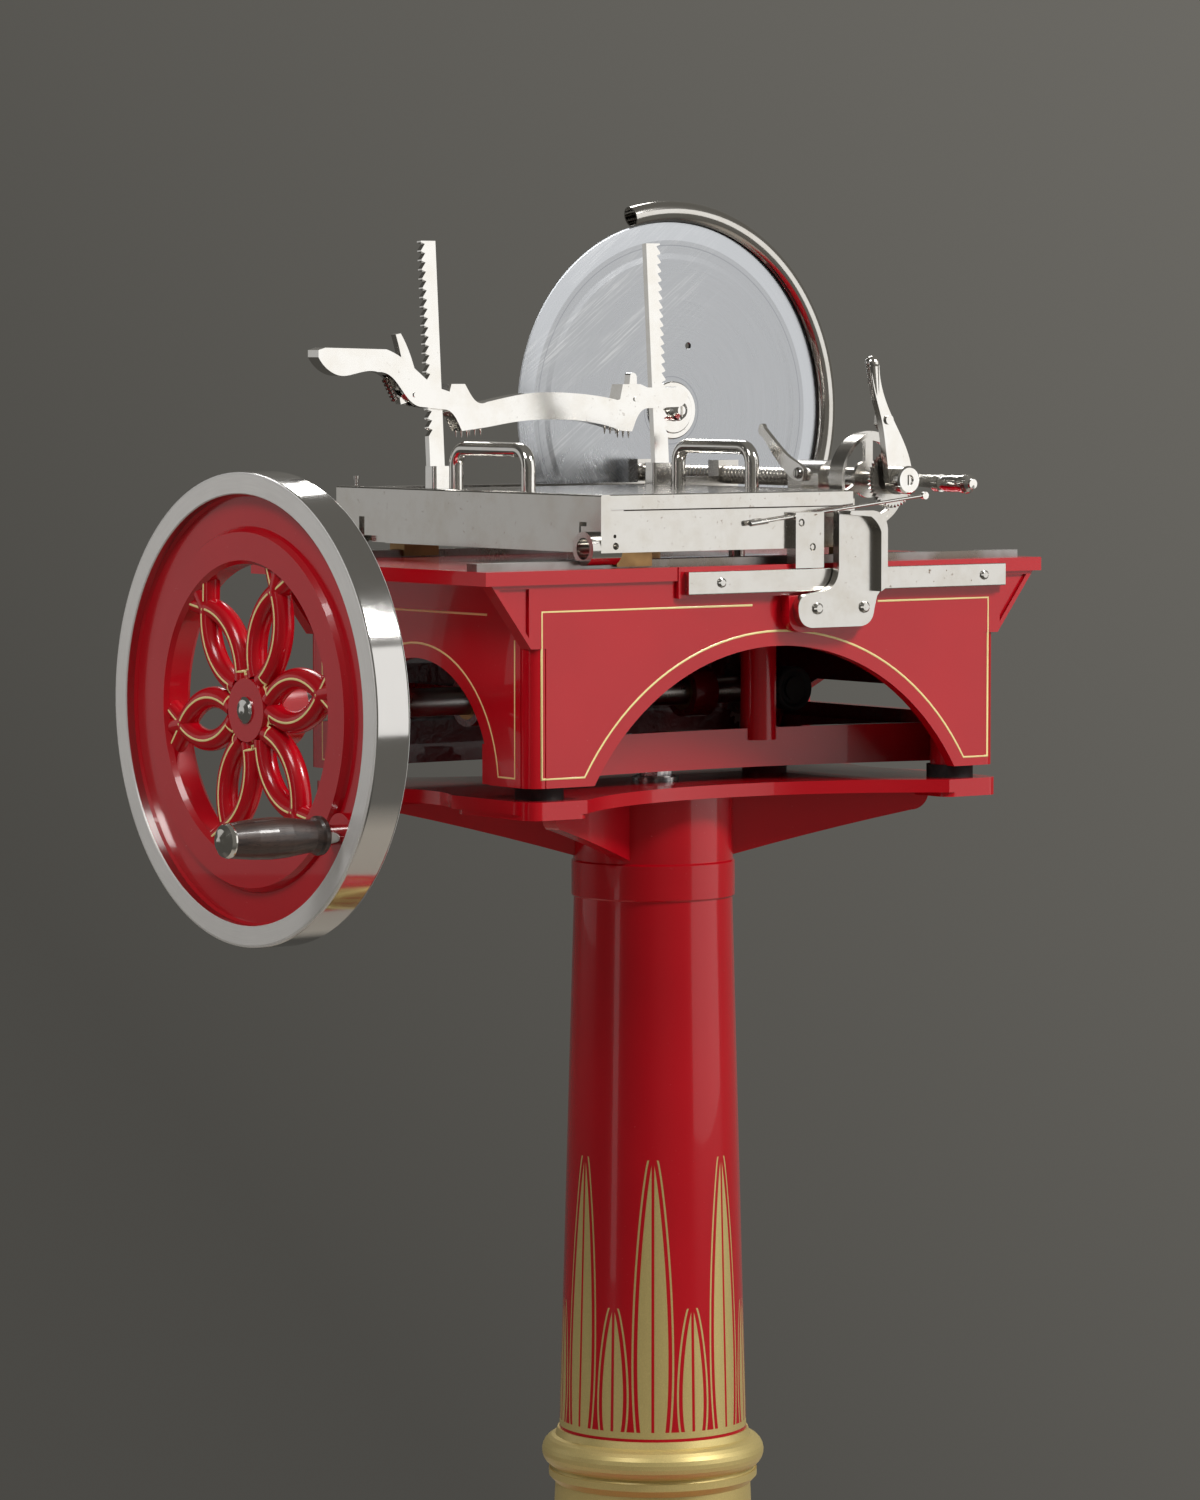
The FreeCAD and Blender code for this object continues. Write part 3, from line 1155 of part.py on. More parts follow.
def blade_shaft():
    """The shaft of blade, bearing and upper sprocket, with the flange behind the blade."""
    shaft = rod((BLADE_X, BLADE_FACE - HUB_T, BLADE_Z), (BLADE_X, CHAIN_Y + SPROCKET_T, BLADE_Z),
                BLADE_SHAFT_R)
    flange = rod((BLADE_X, BLADE_BACK, BLADE_Z), (BLADE_X, BLADE_BACK + BACK_HUB_T, BLADE_Z), BACK_HUB_R)
    return fuse([shaft, flange])


def blade_guard():
    """The slit tube round the blade's edge, with two flat stays to the bracket's boss."""
    normal = V(0, 0, 1)
    centre = V(GUARD_PATH_R, 0, 0)
    outer = Part.Face(Part.Wire([Part.makeCircle(GUARD_R, centre, normal)]))
    inner = Part.Face(Part.Wire([Part.makeCircle(GUARD_R - GUARD_WALL, centre, normal)]))
    low = GUARD_PATH_R - GUARD_R - 2
    high = GUARD_PATH_R - 2
    half = GUARD_SLOT / 2
    corners = [V(low, -half, 0), V(high, -half, 0), V(high, half, 0), V(low, half, 0)]
    slot = Part.Face(Part.makePolygon(corners + corners[:1]))
    section = outer.cut(inner).cut(slot).Faces[0]
    tube = section.revolve(V(0, 0, 0), Y_AXIS, GUARD_FROM - GUARD_TO)
    tube.Placement = FreeCAD.Placement(V(BLADE_X, BLADE_Y, BLADE_Z), FreeCAD.Rotation(Y_AXIS, -GUARD_FROM))
    shapes = [tube]
    for degrees in STAY_ANGLES:
        arm = box(BEARING_R + 4, GUARD_PATH_R + 3, GUARD_R - 0.8, BRACKET_Y - 4 - BLADE_Y, -STAY_W / 2,
                  STAY_W / 2)
        arm.rotate(V(0, 0, 0), Y_AXIS, -degrees)
        arm.translate(V(BLADE_X, BLADE_Y, BLADE_Z))
        shapes.append(arm)
    return fuse(shapes)


# ---------------------------------------------------------------- flywheel
def flywheel_rim():
    """The polished steel tyre."""
    t = WHEEL_T
    profile = [(TYRE_IN, 0.8), (TYRE_IN + 0.8, 0), (WHEEL_R - 2.5, 0), (WHEEL_R - 0.7, 0.7),
               (WHEEL_R, 2.5), (WHEEL_R, t - 2.5), (WHEEL_R - 0.7, t - 0.7), (WHEEL_R - 2.5, t),
               (TYRE_IN + 0.8, t), (TYRE_IN, t - 0.8)]
    return turned(profile, (WHEEL_X, 0, SHAFT_Z), (1, 0, 0))


def petal_path(side):
    """One side of a petal, in radius and offset."""
    middle = (PETAL_ROOT_R + PETAL_TIP_R) / 2
    return [(PETAL_ROOT_R, side * 4.0), (middle, side * PETAL_HALF_W), (PETAL_TIP_R, side * 0.5)]


def petal():
    """One lens-shaped loop spoke along +Y, round in section."""
    shapes = []
    for side in (-1, 1):
        a, b, c = [V(0, p, q) for p, q in petal_path(side)]
        arc = Part.Arc(a, b, c)
        path = Part.Wire([arc.toShape()])
        section = Part.Wire([Part.makeCircle(PETAL_TUBE_R, a, arc.tangent(arc.FirstParameter)[0])])
        shapes.append(path.makePipeShell([section], True, False))
    shapes.append(ball((0, PETAL_TIP_R, 0), PETAL_TUBE_R))
    shapes.append(rod((0, PETAL_TIP_R, 0), (0, RING_IN + 6, 0), PETAL_TUBE_R))
    for side in (-1, 1):
        shapes.append(rod((0, PETAL_TIP_R, 0), (0, RING_IN + 4, side * 17.0), PETAL_TUBE_R * 0.85))
    return fuse(shapes)


def flywheel():
    """The red casting: band, raised ring, petal spokes and hub."""
    r_tyre = TYRE_IN - FIT
    band_back = BAND_SET + BAND_T
    profile = [(RING_IN, 7), (RING_IN + 3, RING_SET), (BAND_IN - 3, RING_SET), (BAND_IN, 7),
               (BAND_IN + 1.5, BAND_SET), (r_tyre - 2, BAND_SET), (r_tyre, BAND_SET - 2),
               (r_tyre, WHEEL_T - 6), (r_tyre - 6, band_back + 2), (BAND_IN, band_back + 2),
               (BAND_IN - 3, WHEEL_T - 5), (RING_IN + 3, WHEEL_T - 5), (RING_IN, WHEEL_T - 9)]
    body = turned(profile, (WHEEL_X, 0, SHAFT_Z), (1, 0, 0))
    hub = turned([(0, 0), (WHEEL_HUB_R - 5, 0), (WHEEL_HUB_R - 4, 3), (WHEEL_HUB_R, 4),
                  (WHEEL_HUB_R, WHEEL_HUB_L), (0, WHEEL_HUB_L)], (HUB_FACE, 0, SHAFT_Z), (1, 0, 0))
    shapes = [body, hub]
    one = petal()
    for k in range(PETALS):
        spoke = one.copy()
        spoke.rotate(V(0, 0, 0), X_AXIS, 180.0 - PETAL_PHASE + k * 360.0 / PETALS)
        spoke.translate(V(WHEEL_X + PETAL_SET, 0, SHAFT_Z))
        shapes.append(spoke)
    sy, sz = spindle_at()
    shapes.append(rod((WHEEL_X + BAND_SET - 6, sy, sz), (WHEEL_BACK - 6, sy, sz), SPINDLE_BOSS_R))
    wheel = fuse(shapes)
    tyre_room = turned([(r_tyre, -1), (WHEEL_R + 5, -1), (WHEEL_R + 5, WHEEL_T + 1), (r_tyre, WHEEL_T + 1)],
                       (WHEEL_X, 0, SHAFT_Z), (1, 0, 0))
    bore0 = rod((HUB_FACE - 1, 0, SHAFT_Z), (WHEEL_X + 20, 0, SHAFT_Z), HUB_NUT_R * 0.6 + FIT)
    bore1 = rod((WHEEL_BACK - WHEEL_HUB_L + 20, 0, SHAFT_Z), (HUB_FACE + WHEEL_HUB_L + 1, 0, SHAFT_Z),
                SHAFT_R + FIT)
    pin = rod((WHEEL_X - 10, sy, sz), (WHEEL_BACK, sy, sz), SPINDLE_R + FIT)
    sink = rod((HUB_FACE - 1, 0, SHAFT_Z), (HUB_FACE + HUB_NUT_SINK + FIT, 0, SHAFT_Z), HUB_NUT_R + 1 + FIT)
    return cut(wheel, [tyre_room, bore0, bore1, pin, sink])


def spindle_at():
    """The crank spindle's Y and Z."""
    turn = math.radians(SPINDLE_ANGLE)
    return (-SPINDLE_AT * math.cos(turn), SHAFT_Z + SPINDLE_AT * math.sin(turn))


def hub_nut():
    """The low domed nut, half sunk in the flywheel's hub."""
    r = HUB_NUT_R
    profile = [(r * 0.6 + FIT, -HUB_NUT_SINK), (r + 1, -HUB_NUT_SINK), (r + 1, 1.2), (r * 0.85, 2.8),
               (r * 0.4, 4.0), (0, 4.4), (0, 2.6), (r * 0.6 + FIT, 2.6)]
    return turned(profile, (HUB_FACE, 0, SHAFT_Z), (-1, 0, 0))


def crank_spindle():
    """The steel spindle of the grip, with its collar."""
    sy, sz = spindle_at()
    face = WHEEL_X + BAND_SET - 6
    end = grip_start() - (GRIP_L - GRIP_CAP_L) - 7.5
    shank = rod((end, sy, sz), (WHEEL_BACK - 6, sy, sz), SPINDLE_R)
    collar = rod((face - SPINDLE_COLLAR_L, sy, sz), (face, sy, sz), SPINDLE_COLLAR_R)
    return fuse([shank, collar])


def grip_start():
    """Where the grip begins, in front of the spindle's collar."""
    return WHEEL_X + BAND_SET - 6 - SPINDLE_COLLAR_L - GAP


def grip():
    """The turned wooden grip."""
    sy, sz = spindle_at()
    bore = SPINDLE_R + RUN
    end = GRIP_L - GRIP_CAP_L
    shape = [(0, 14.6), (1.5, 15.8), (5, 15.9), (7, 14.4), (12, 13.2), (22, 14.4), (36, 16.2), (50, 16.8),
             (68, 16.0), (end, 13.9)]
    profile = [(bore, 0)] + [(r, x) for x, r in shape] + [(bore, end)]
    return turned(profile, (grip_start(), sy, sz), (-1, 0, 0))


def grip_cap():
    """The nickel cap at the grip's end."""
    sy, sz = spindle_at()
    start = grip_start() - (GRIP_L - GRIP_CAP_L)
    profile = [(SPINDLE_R + RUN, 0), (13.9, 0), (14.1, 1.5), (13.0, 4.5), (9.5, 7.2), (6.0, 8.4), (3.0, 9.6),
               (0, GRIP_CAP_L), (0, 8.0), (SPINDLE_R + RUN, 8.0)]
    return turned(profile, (start, sy, sz), (-1, 0, 0))


# ---------------------------------------------------------------- carriage
def carriage_frame():
    """The nickel frame that slides along X, with the drive pin and the feed screw's guide bar."""
    side = carriage_side_plate()
    ear = rod((CAR_X0 - 8, EAR_Y, EAR_Z), (CAR_X0 + 22, EAR_Y, EAR_Z), EAR_R)
    ear_fill = box(CAR_X0, CAR_X0 + 22, EAR_Y - EAR_R, EAR_Y + EAR_R, EAR_Z, EAR_Z + 18)
    inner_x = CAR_X0 + CAR_PLATE_T
    front = box(inner_x - 1, CAR_FRONT_X, CAR_Y0, CAR_Y0 + CAR_FRONT_T, CAR_Z0, CAR_FRONT_TOP)
    front2 = box(CAR_FRONT_X - 10, TABLE_X1 - 11, CAR_Y0 + 4, CAR_Y0 + 4 + CAR_FRONT_T, CAR_Z0 + 3,
                 CAR_FRONT_TOP)
    rear = box(inner_x - 1, CAR_SIDE_X + 10, CAR_Y1 - 10, CAR_Y1, CAR_Z0, CAR_TOP - 2)
    deck = box(inner_x - 1, CAR_SIDE_X + 10, DECK_Y, CAR_Y1, CAR_TOP - DECK_T, CAR_TOP - 1)
    right = box(CAR_SIDE_X, CAR_SIDE_X + 10, SCREW_DECK_Y0, CAR_Y1, CAR_Z0, SCREW_DECK_TOP)
    right_floor = box(WEB_X1 - 1, CAR_SIDE_X + 1, SCREW_DECK_Y0, CAR_Y1 - 5, CAR_Z0, CAR_Z0 + WEB_T)
    screw_deck = box(CAR_SIDE_X, SCREW_DECK_X1, SCREW_DECK_Y0, CAR_Y1, SCREW_DECK_TOP - 8, SCREW_DECK_TOP)
    ledge_z0 = TABLE_Z0 - SLIDE - 10
    ledges = [box(inner_x - 1, inner_x + 16, CAR_Y0 + 4, CAR_Y1 - 5, ledge_z0, TABLE_Z0 - SLIDE),
              box(TABLE_X1 - 12, TABLE_X1 + 4, CAR_Y0 + 6, CAR_Y1 - 5, ledge_z0, TABLE_Z0 - SLIDE)]
    web = box(WEB_X0, WEB_X1, CAR_Y0 + 6, CAR_Y1 - 5, CAR_Z0, CAR_Z0 + WEB_T)
    sills = [box(inner_x - 1, CAR_SIDE_X + 2, y - 11, y + 11, CAR_Z0, CAR_Z0 + WEB_T)
             for y in SLIDE_RAIL_YS]
    frame = fuse([side, ear, ear_fill, front, front2, rear, deck, right, right_floor, screw_deck, web,
                  drive_pin(), feed_guide_bar(), rear_bearing()] + ledges + sills)
    holes = [rod((CAR_X0 + 14, CAR_Y0 - 1, 1060.5), (CAR_X0 + 14, CAR_Y0 + 9, 1060.5), 1.5),
             rod((CAR_X0 + 15, CAR_Y0 - 1, 1052.5), (CAR_X0 + 15, CAR_Y0 + 9, 1052.5), 3.0),
             rod((CAR_X0 - 9, EAR_Y, EAR_Z), (CAR_X0 + 6, EAR_Y, EAR_Z), EAR_R - 5)]
    holes.append(box(CAR_X0 - 9, CAR_X0 + 23, SLIDE_RAIL_YS[0] - SLIDE_RAIL_W / 2 - 1, CAR_Y1,
                     BASE_TOP, RAIL_TOP + 0.6))
    holes += [rod((x, y, z), (x, y, z - 11), CAR_SCREW_R * 0.5 + FIT) for x, y, z in stop_pin_spots()]
    holes += [rod((s[0], s[1], s[2]), (s[0], CAR_Y0 + 14, s[2]), CAR_SCREW_R * 0.5 + FIT)
              for s in block_screw_spots()]
    return cut(frame, holes)


def carriage_side_plate():
    """The left side plate with its front slot and rear notch."""
    outline = polygon([(CAR_Y0, CAR_Z0), (150, CAR_Z0), (157, CAR_Z0 + 6), (190, CAR_Z0 + 6),
                       (190, CAR_Z0), (CAR_Y1, CAR_Z0), (CAR_Y1, CAR_TOP), (CAR_Y0, CAR_TOP)])
    plate = slab_yz(outline, CAR_X0, CAR_X0 + CAR_PLATE_T)
    slots = [box(CAR_X0 - 1, CAR_X0 + CAR_PLATE_T + 1, 182, 190, CAR_Z0, 1069),
             box(CAR_X0 - 1, CAR_X0 + 5, -140, -130, 1059, 1072)]
    plate = plate.makeFillet(2.0, [e for e in plate.Edges
                                   if abs(e.BoundBox.ZMin - CAR_TOP) < 1e-3 and e.Length > 100])
    return cut(plate, slots)


def stop_pin_spots():
    """The stop pin on the side plate's far end."""
    return [(CAR_X0 + 4, CAR_Y1 - 25, CAR_TOP)]


def stop_pin():
    """A small pin on the side plate."""
    x, y, z = stop_pin_spots()[0]
    pin = rod((x, y, z - 10), (x, y, z + 9), CAR_SCREW_R * 0.5)
    head = rod((x, y, z + 6), (x, y, z + 9), CAR_SCREW_R * 0.8)
    return fuse([pin, head])


def block_screw_spots():
    """The guide block's two screws, sunk under its front face."""
    y = guide_block_front() + CAR_SCREW_SINK
    return [(BLOCK_X0 + 6, y, BLOCK_TOP - 8.5), (BLOCK_X0 + 18, y, BLOCK_TOP - 29)]


def guide_block_front():
    """The guide block's front face, clear of the striker bracket."""
    return STRIKER_Y + 1.0


def guide_block():
    """The block on the carriage's front that rides above the front rail."""
    y0 = guide_block_front()
    z0 = BASE_TOP + 0.8
    block = box(BLOCK_X0, BLOCK_X1, y0, CAR_Y0 + 4, z0, BLOCK_TOP)
    lip = box(BLOCK_X0, BLOCK_X1, y0, FRONT_RAIL_Y - GAP, FRONT_RAIL_Z0 + FRONT_RAIL_H + 0.5, z0 + 1)
    rod_slot = box(BLOCK_X0 - 1, BLOCK_X1 + 1, ACTUATOR_Y - 2, ACTUATOR_Y + 2, BLOCK_TOP - 5, BLOCK_TOP + 1)
    holes = []
    for x, y, z in block_screw_spots():
        holes.append(rod((x, y - 1, z), (x, CAR_Y0 + 5, z), CAR_SCREW_R * 0.5 + FIT))
        holes.append(rod((x, y0 - 1, z), (x, y, z), CAR_SCREW_R + FIT))
    return cut(fuse([block, lip]), holes + [rod_slot])


def carriage_screws():
    """Screws of the guide block and the release lever, and the stop pin."""
    screws = [slotted_screw(s, (0, -1, 0), CAR_SCREW_R, 1.8, 12.0) for s in block_screw_spots()]
    return group(screws + [latch_screw(), stop_pin()])


def slide_shoes():
    """Bronze shoes that straddle the slide rails."""
    half = SLIDE_RAIL_W / 2
    shoes = []
    for x in SHOE_XS:
        for y in SLIDE_RAIL_YS:
            block = box(x - SHOE_L / 2, x + SHOE_L / 2, y - half - 4, y + half + 4, BASE_TOP + 0.8, CAR_Z0)
            room = box(x - SHOE_L, x + SHOE_L, y - half - SLIDE, y + half + SLIDE, BASE_TOP, RAIL_TOP + SLIDE)
            shoes.append(block.cut(room))
    return group(shoes)


def drive_pin():
    """The pin under the carriage that the connecting rod drives."""
    x = DRIVE_PIN_X
    pin = rod((x, 0, ROD_Z - 1.0), (x, 0, CAR_Z0 + 1), DRIVE_PIN_R)
    collar = rod((x, 0, ROD_Z + ROD_T + SLIDE), (x, 0, ROD_Z + ROD_T + 3.0), DRIVE_PIN_R + 2.0)
    return fuse([pin, collar])


def actuating_rod():
    """The thin rod on the carriage's front."""
    start = (CAR_FRONT_X - 46, ACTUATOR_Y, 1068.5)
    end = (SCREW_X + 14, ACTUATOR_Y, 1089.5)
    thin = rod(start, end, ACTUATOR_R)
    sleeve_end = (start[0] + 18, ACTUATOR_Y, start[2] + 18 * (end[2] - start[2]) / (end[0] - start[0]))
    sleeve = rod(start, sleeve_end, ACTUATOR_R + 1.0)
    lug_z = sleeve_end[2] - 0.7
    lug = rod((start[0] + 12, ACTUATOR_Y, lug_z), (start[0] + 12, CAR_Y0, lug_z), 1.8)
    eye = rod((end[0] - 4, ACTUATOR_Y - 2, end[2] - 0.5), (end[0] - 4, ACTUATOR_Y + 2, end[2] - 0.5), 3.2)
    return fuse([thin, sleeve, lug, eye])


# ---------------------------------------------------------------- table, posts, clamp
def feed_table():
    """The table plate that moves toward the blade."""
    plate = box(TABLE_X0, TABLE_X1, TABLE_Y0, TABLE_Y1, TABLE_Z0, CAR_TOP)
    edges = [e for e in plate.Edges if abs(e.BoundBox.ZMin - CAR_TOP) < 1e-3]
    plate = plate.makeFillet(1.5, edges)
    holes = []
    for x in HANDLE_XS:
        for y in (HANDLE_Y0, HANDLE_Y1):
            holes.append(rod((x, y, CAR_TOP - 8), (x, y, CAR_TOP + 1), HANDLE_R + FIT))
    return cut(plate, holes)


def grab_handles():
    """Two bent rod handles on the table."""
    z0 = CAR_TOP - 8 + FIT
    z1 = CAR_TOP + HANDLE_H
    return group([bent_rod([(x, HANDLE_Y0, z0), (x, HANDLE_Y0, z1), (x, HANDLE_Y1, z1), (x, HANDLE_Y1, z0)],
                           HANDLE_BEND, HANDLE_R) for x in HANDLE_XS])


def lean(shape, x):
    """Turn a shape at a post's foot by the posts' lean toward the blade."""
    shape.rotate(V(x, POST_Y, CAR_TOP), X_AXIS, -POST_LEAN)
    return shape


def rack_post(x, side):
    """One toothed post: side is -1 for teeth toward -X, 1 for teeth toward +X."""
    half = POST_W / 2
    base = CAR_TOP + GAP
    top = base + POST_H
    teeth = int((POST_H - TOOTH_FROM) / TOOTH_PITCH)
    edge = []
    for k in range(teeth + 1):
        z = top - k * TOOTH_PITCH
        edge.append((x + side * half, z))
        if k < teeth:
            edge.append((x + side * half, z - 1.2))
            edge.append((x + side * (half - TOOTH_D), z - 2.6))
    edge.append((x + side * half, base))
    outline = [(x - side * half, base), (x - side * half, top)] + edge
    return lean(slab_xz(polygon(outline), POST_Y - POST_T / 2, POST_Y + POST_T / 2), x)


def rack_posts():
    """Both toothed posts."""
    return group([rack_post(POST_XS[0], -1), rack_post(POST_XS[1], 1)])


def post_sockets():
    """The split blocks at the posts' feet."""
    sockets = []
    for x in POST_XS:
        block = rounded_box(x - SOCKET_W / 2 + (5 if x < 0 else 0), x + SOCKET_W / 2 - (SOCKET_TRIM if x > 0 else 0),
                            POST_Y - SOCKET_T / 2, POST_Y + SOCKET_T / 2, CAR_TOP + FIT,
                            CAR_TOP + SOCKET_H, 3.0)
        room = box(x - POST_W / 2 - FIT, x + POST_W / 2 + FIT, POST_Y - POST_T / 2 - FIT,
                   POST_Y + POST_T / 2 + FIT, CAR_TOP - 5, CAR_TOP + POST_H)
        sockets.append(block.cut(lean(room, x)))
    return group(sockets)


CLAMP_OUTLINE = [
    ("line", [(-277, 1212), (-270, 1214), (-208, 1212.5)]),
    ("curve", [(-190, 1204), (-176, 1194), (-164, 1185), (-150, 1178.5)]),
    ("line", [(-143, 1176.5), (-141, 1183), (-127, 1183)]),
    ("curve", [(-121, 1174), (-115, 1168), (-104, 1167.5)]),
    ("curve", [(-88, 1170.5), (-61, 1174.5), (-21, 1175), (10, 1172.5), (35, 1168.5)]),
    ("line", [(38, 1169), (41, 1182), (60, 1182), (68, 1179), (98, 1179)]),
    ("curve", [(107, 1178), (112, 1173), (110, 1167), (103, 1162)]),
    ("line", [(68, 1161)]),
    ("curve", [(60, 1157.5), (55, 1150), (51, 1141)]),
    ("line", [(40, 1141.5)]),
    ("curve", [(20, 1147), (-2, 1150.5), (-30, 1152), (-60, 1151.5), (-84, 1149)]),
    ("line", [(-104, 1146), (-130, 1143)]),
    ("curve", [(-134, 1150), (-140, 1158), (-149, 1161.5)]),
    ("line", [(-174, 1164)]),
    ("curve", [(-186, 1171), (-200, 1187), (-217, 1193.5)]),
    ("curve", [(-238, 1192.5), (-255, 1190.5), (-268, 1196), (-277, 1206)]),
]


def clamp_arm():
    """The arm across the posts, with handle, spiked pads and fork."""
    y0 = CLAMP_Y - CLAMP_T / 2
    y1 = CLAMP_Y + CLAMP_T / 2
    arm = slab_xz(CLAMP_OUTLINE, y0, y1)
    spikes = []
    for x0, z in SPIKE_SPOTS:
        for y in (y0 + 4, y1 - 4):
            for dx in (0, 6):
                spikes.append(cone((x0 + dx, y, z + 3), (x0 + dx, y, z - SPIKE_H), SPIKE_R, 0.4))
    arm = fuse([arm, clamp_tab()] + spikes)
    pockets = [box(*PAWL_ROOM, y0 + CHEEK_T, y1 - CHEEK_T, PAWL_PIN_Z - 74, PAWL_PIN_Z + 76)]
    rooms = []
    for x in POST_XS:
        room = box(x - POST_W / 2 - GAP, x + POST_W / 2 + GAP, POST_Y - POST_T / 2 - GAP,
                   POST_Y + POST_T / 2 + GAP, CAR_TOP, CAR_TOP + POST_H + 100)
        rooms.append(lean(room, x))
    pins = [rod((x, y0 - 1, z), (x, y1 + 1, z), PAWL_PIN_R + FIT) for x, z in clamp_pin_spots()]
    return cut(arm, pockets + rooms + pins)


def clamp_pin_spots():
    """X and Z of the pawl's pin and the fork's pin."""
    return [(PAWL_PIN_X, PAWL_PIN_Z), (TAB_PIN_X, TAB_PIN_Z)]


def clamp_pins():
    """The pawl's pin and the fork's pin."""
    y0 = CLAMP_Y - CLAMP_T / 2 - 1
    y1 = CLAMP_Y + CLAMP_T / 2 + 1
    return group([rod((x, y0, z), (x, y1, z), PAWL_PIN_R) for x, z in clamp_pin_spots()])


def clamp_pawl():
    """The release pawl between the arm's cheeks."""
    half = CLAMP_T / 2 - CHEEK_T - GAP
    x, z = PAWL_PIN_X, PAWL_PIN_Z
    outline = [("line", [(x + 13, z + 4), (x + 7, z + 8)]),
               ("curve", [(x + 3, z + 20), (x - 4, z + 38), (x - 12, z + 52)]),
               ("line", [(x - 17, z + 51)]),
               ("curve", [(x - 13, z + 38), (x - 9, z + 20), (x - 7, z + 4)]),
               ("line", [(x - 13, z - 3), (x - 12, z - 8), (x - 3, z - 6), (x + 6, z - 4)])]
    pawl = slab_xz(outline, CLAMP_Y - half, CLAMP_Y + half)
    return pawl.cut(rod((x, CLAMP_Y - 10, z), (x, CLAMP_Y + 10, z), PAWL_PIN_R + RUN))


def clamp_tab():
    """The small tab that stands up beside the fork."""
    half = CLAMP_T / 2 - CHEEK_T
    x, z = TAB_PIN_X, TAB_PIN_Z
    outline = [("line", [(x + 4.5, z - 6), (x + 4.5, z + 8), (x + 4, z + 19)]),
               ("curve", [(x + 2.5, z + 22), (x, z + 23), (x - 3, z + 21)]),
               ("line", [(x - 4.5, z + 8), (x - 4.5, z - 6)])]
    return slab_xz(outline, CLAMP_Y - half, CLAMP_Y + half)


def pawl_spring():
    """The small coil spring under the clamp's handle, as a stack of turns."""
    start = V(SPRING_START[0], CLAMP_Y, SPRING_START[1])
    end = V(PAWL_PIN_X + SPRING_END[0], CLAMP_Y, PAWL_PIN_Z + SPRING_END[1])
    span = end - start
    turns = 6
    rings = [rod(start, end, 1.6)]
    for k in range(turns):
        at = start + span * ((k + 0.5) / turns)
        side = V(span).normalize() * 0.9
        rings.append(Part.makeCylinder(3.0, 1.8, at - side, side))
    return fuse(rings)


# ---------------------------------------------------------------- feed mechanism
def feed_nut():
    """The nut block that carries the table along the screw."""
    y0 = POST_Y - 8
    y1 = POST_Y + 7
    half = 11.0
    block = box(SCREW_X - half, SCREW_X + half, y0, y1, GUIDE_TOP + SLIDE, SCREW_Z + 13)
    arm = box(TABLE_X1 + FIT, SCREW_X - half + 1, y0, y1, SCREW_DECK_TOP + 2.0, SCREW_Z - 1)
    nut = fuse([block, arm])
    return nut.cut(rod((SCREW_X, y0 - 1, SCREW_Z), (SCREW_X, y1 + 1, SCREW_Z), SCREW_R + RUN))


def feed_guide_bar():
    """The flat bar under the screw."""
    return box(SCREW_X - 7, SCREW_X + 7, HOUSING_Y1 + GAP, CAR_Y1 - 16, SCREW_DECK_TOP, GUIDE_TOP)


def feed_screw():
    """The coarse screw with its journals."""
    profile = [(0, LEVER_Y - 8), (5.0, LEVER_Y - 8), (5.0, RATCHET_Y), (JOURNAL_R, RATCHET_Y),
               (JOURNAL_R, SCREW_Y0)]
    y = SCREW_Y0
    while y + THREAD_PITCH <= SCREW_Y1:
        profile += [(SCREW_ROOT_R, y + 0.2), (SCREW_ROOT_R, y + 1.4), (SCREW_R, y + 2.4), (SCREW_R, y + 3.8)]
        y += THREAD_PITCH
    profile += [(JOURNAL_R, SCREW_Y1), (JOURNAL_R, CAR_Y1 - 2), (0, CAR_Y1 - 2)]
    return turned(profile, (SCREW_X, 0, SCREW_Z), (0, 1, 0))


def screw_housing():
    """The bearing bracket in front of the screw and its neck."""
    x0 = SCREW_X - HOUSING_W / 2
    x1 = SCREW_X + HOUSING_W / 2
    foot = box(x0, x1, HOUSING_Y0, HOUSING_Y1, SCREW_DECK_TOP, SCREW_Z)
    barrel = rod((SCREW_X, HOUSING_Y0, SCREW_Z), (SCREW_X, HOUSING_Y1, SCREW_Z), HOUSING_W / 2)
    neck = rod((SCREW_X, RING_Y, SCREW_Z), (SCREW_X, HOUSING_Y0 + 1, SCREW_Z), 10.0)
    ear = box(x0 - 8, x0 + 2, LATCH_PIN_Y - 9, LATCH_PIN_Y + 9, SCREW_DECK_TOP, LATCH_PIN_Z - LATCH_ROOM)
    body = fuse([foot, barrel, neck, ear])
    bore = rod((SCREW_X, RING_Y - 1, SCREW_Z), (SCREW_X, HOUSING_Y1 + 1, SCREW_Z), JOURNAL_R + RUN)
    latch = rod((x0 - 9, LATCH_PIN_Y, LATCH_PIN_Z), (x0 + 8, LATCH_PIN_Y, LATCH_PIN_Z), 2.5 + FIT)
    return cut(body, [bore, latch])


def rear_bearing():
    """The screw's far bearing on the deck."""
    y1 = CAR_Y1 - 1
    y0 = y1 - 14
    block = box(SCREW_X - 12, SCREW_X + 12, y0, y1, SCREW_DECK_TOP, SCREW_Z + 12)
    return block.cut(rod((SCREW_X, y0 - 1, SCREW_Z), (SCREW_X, y1 + 1, SCREW_Z), JOURNAL_R + RUN))


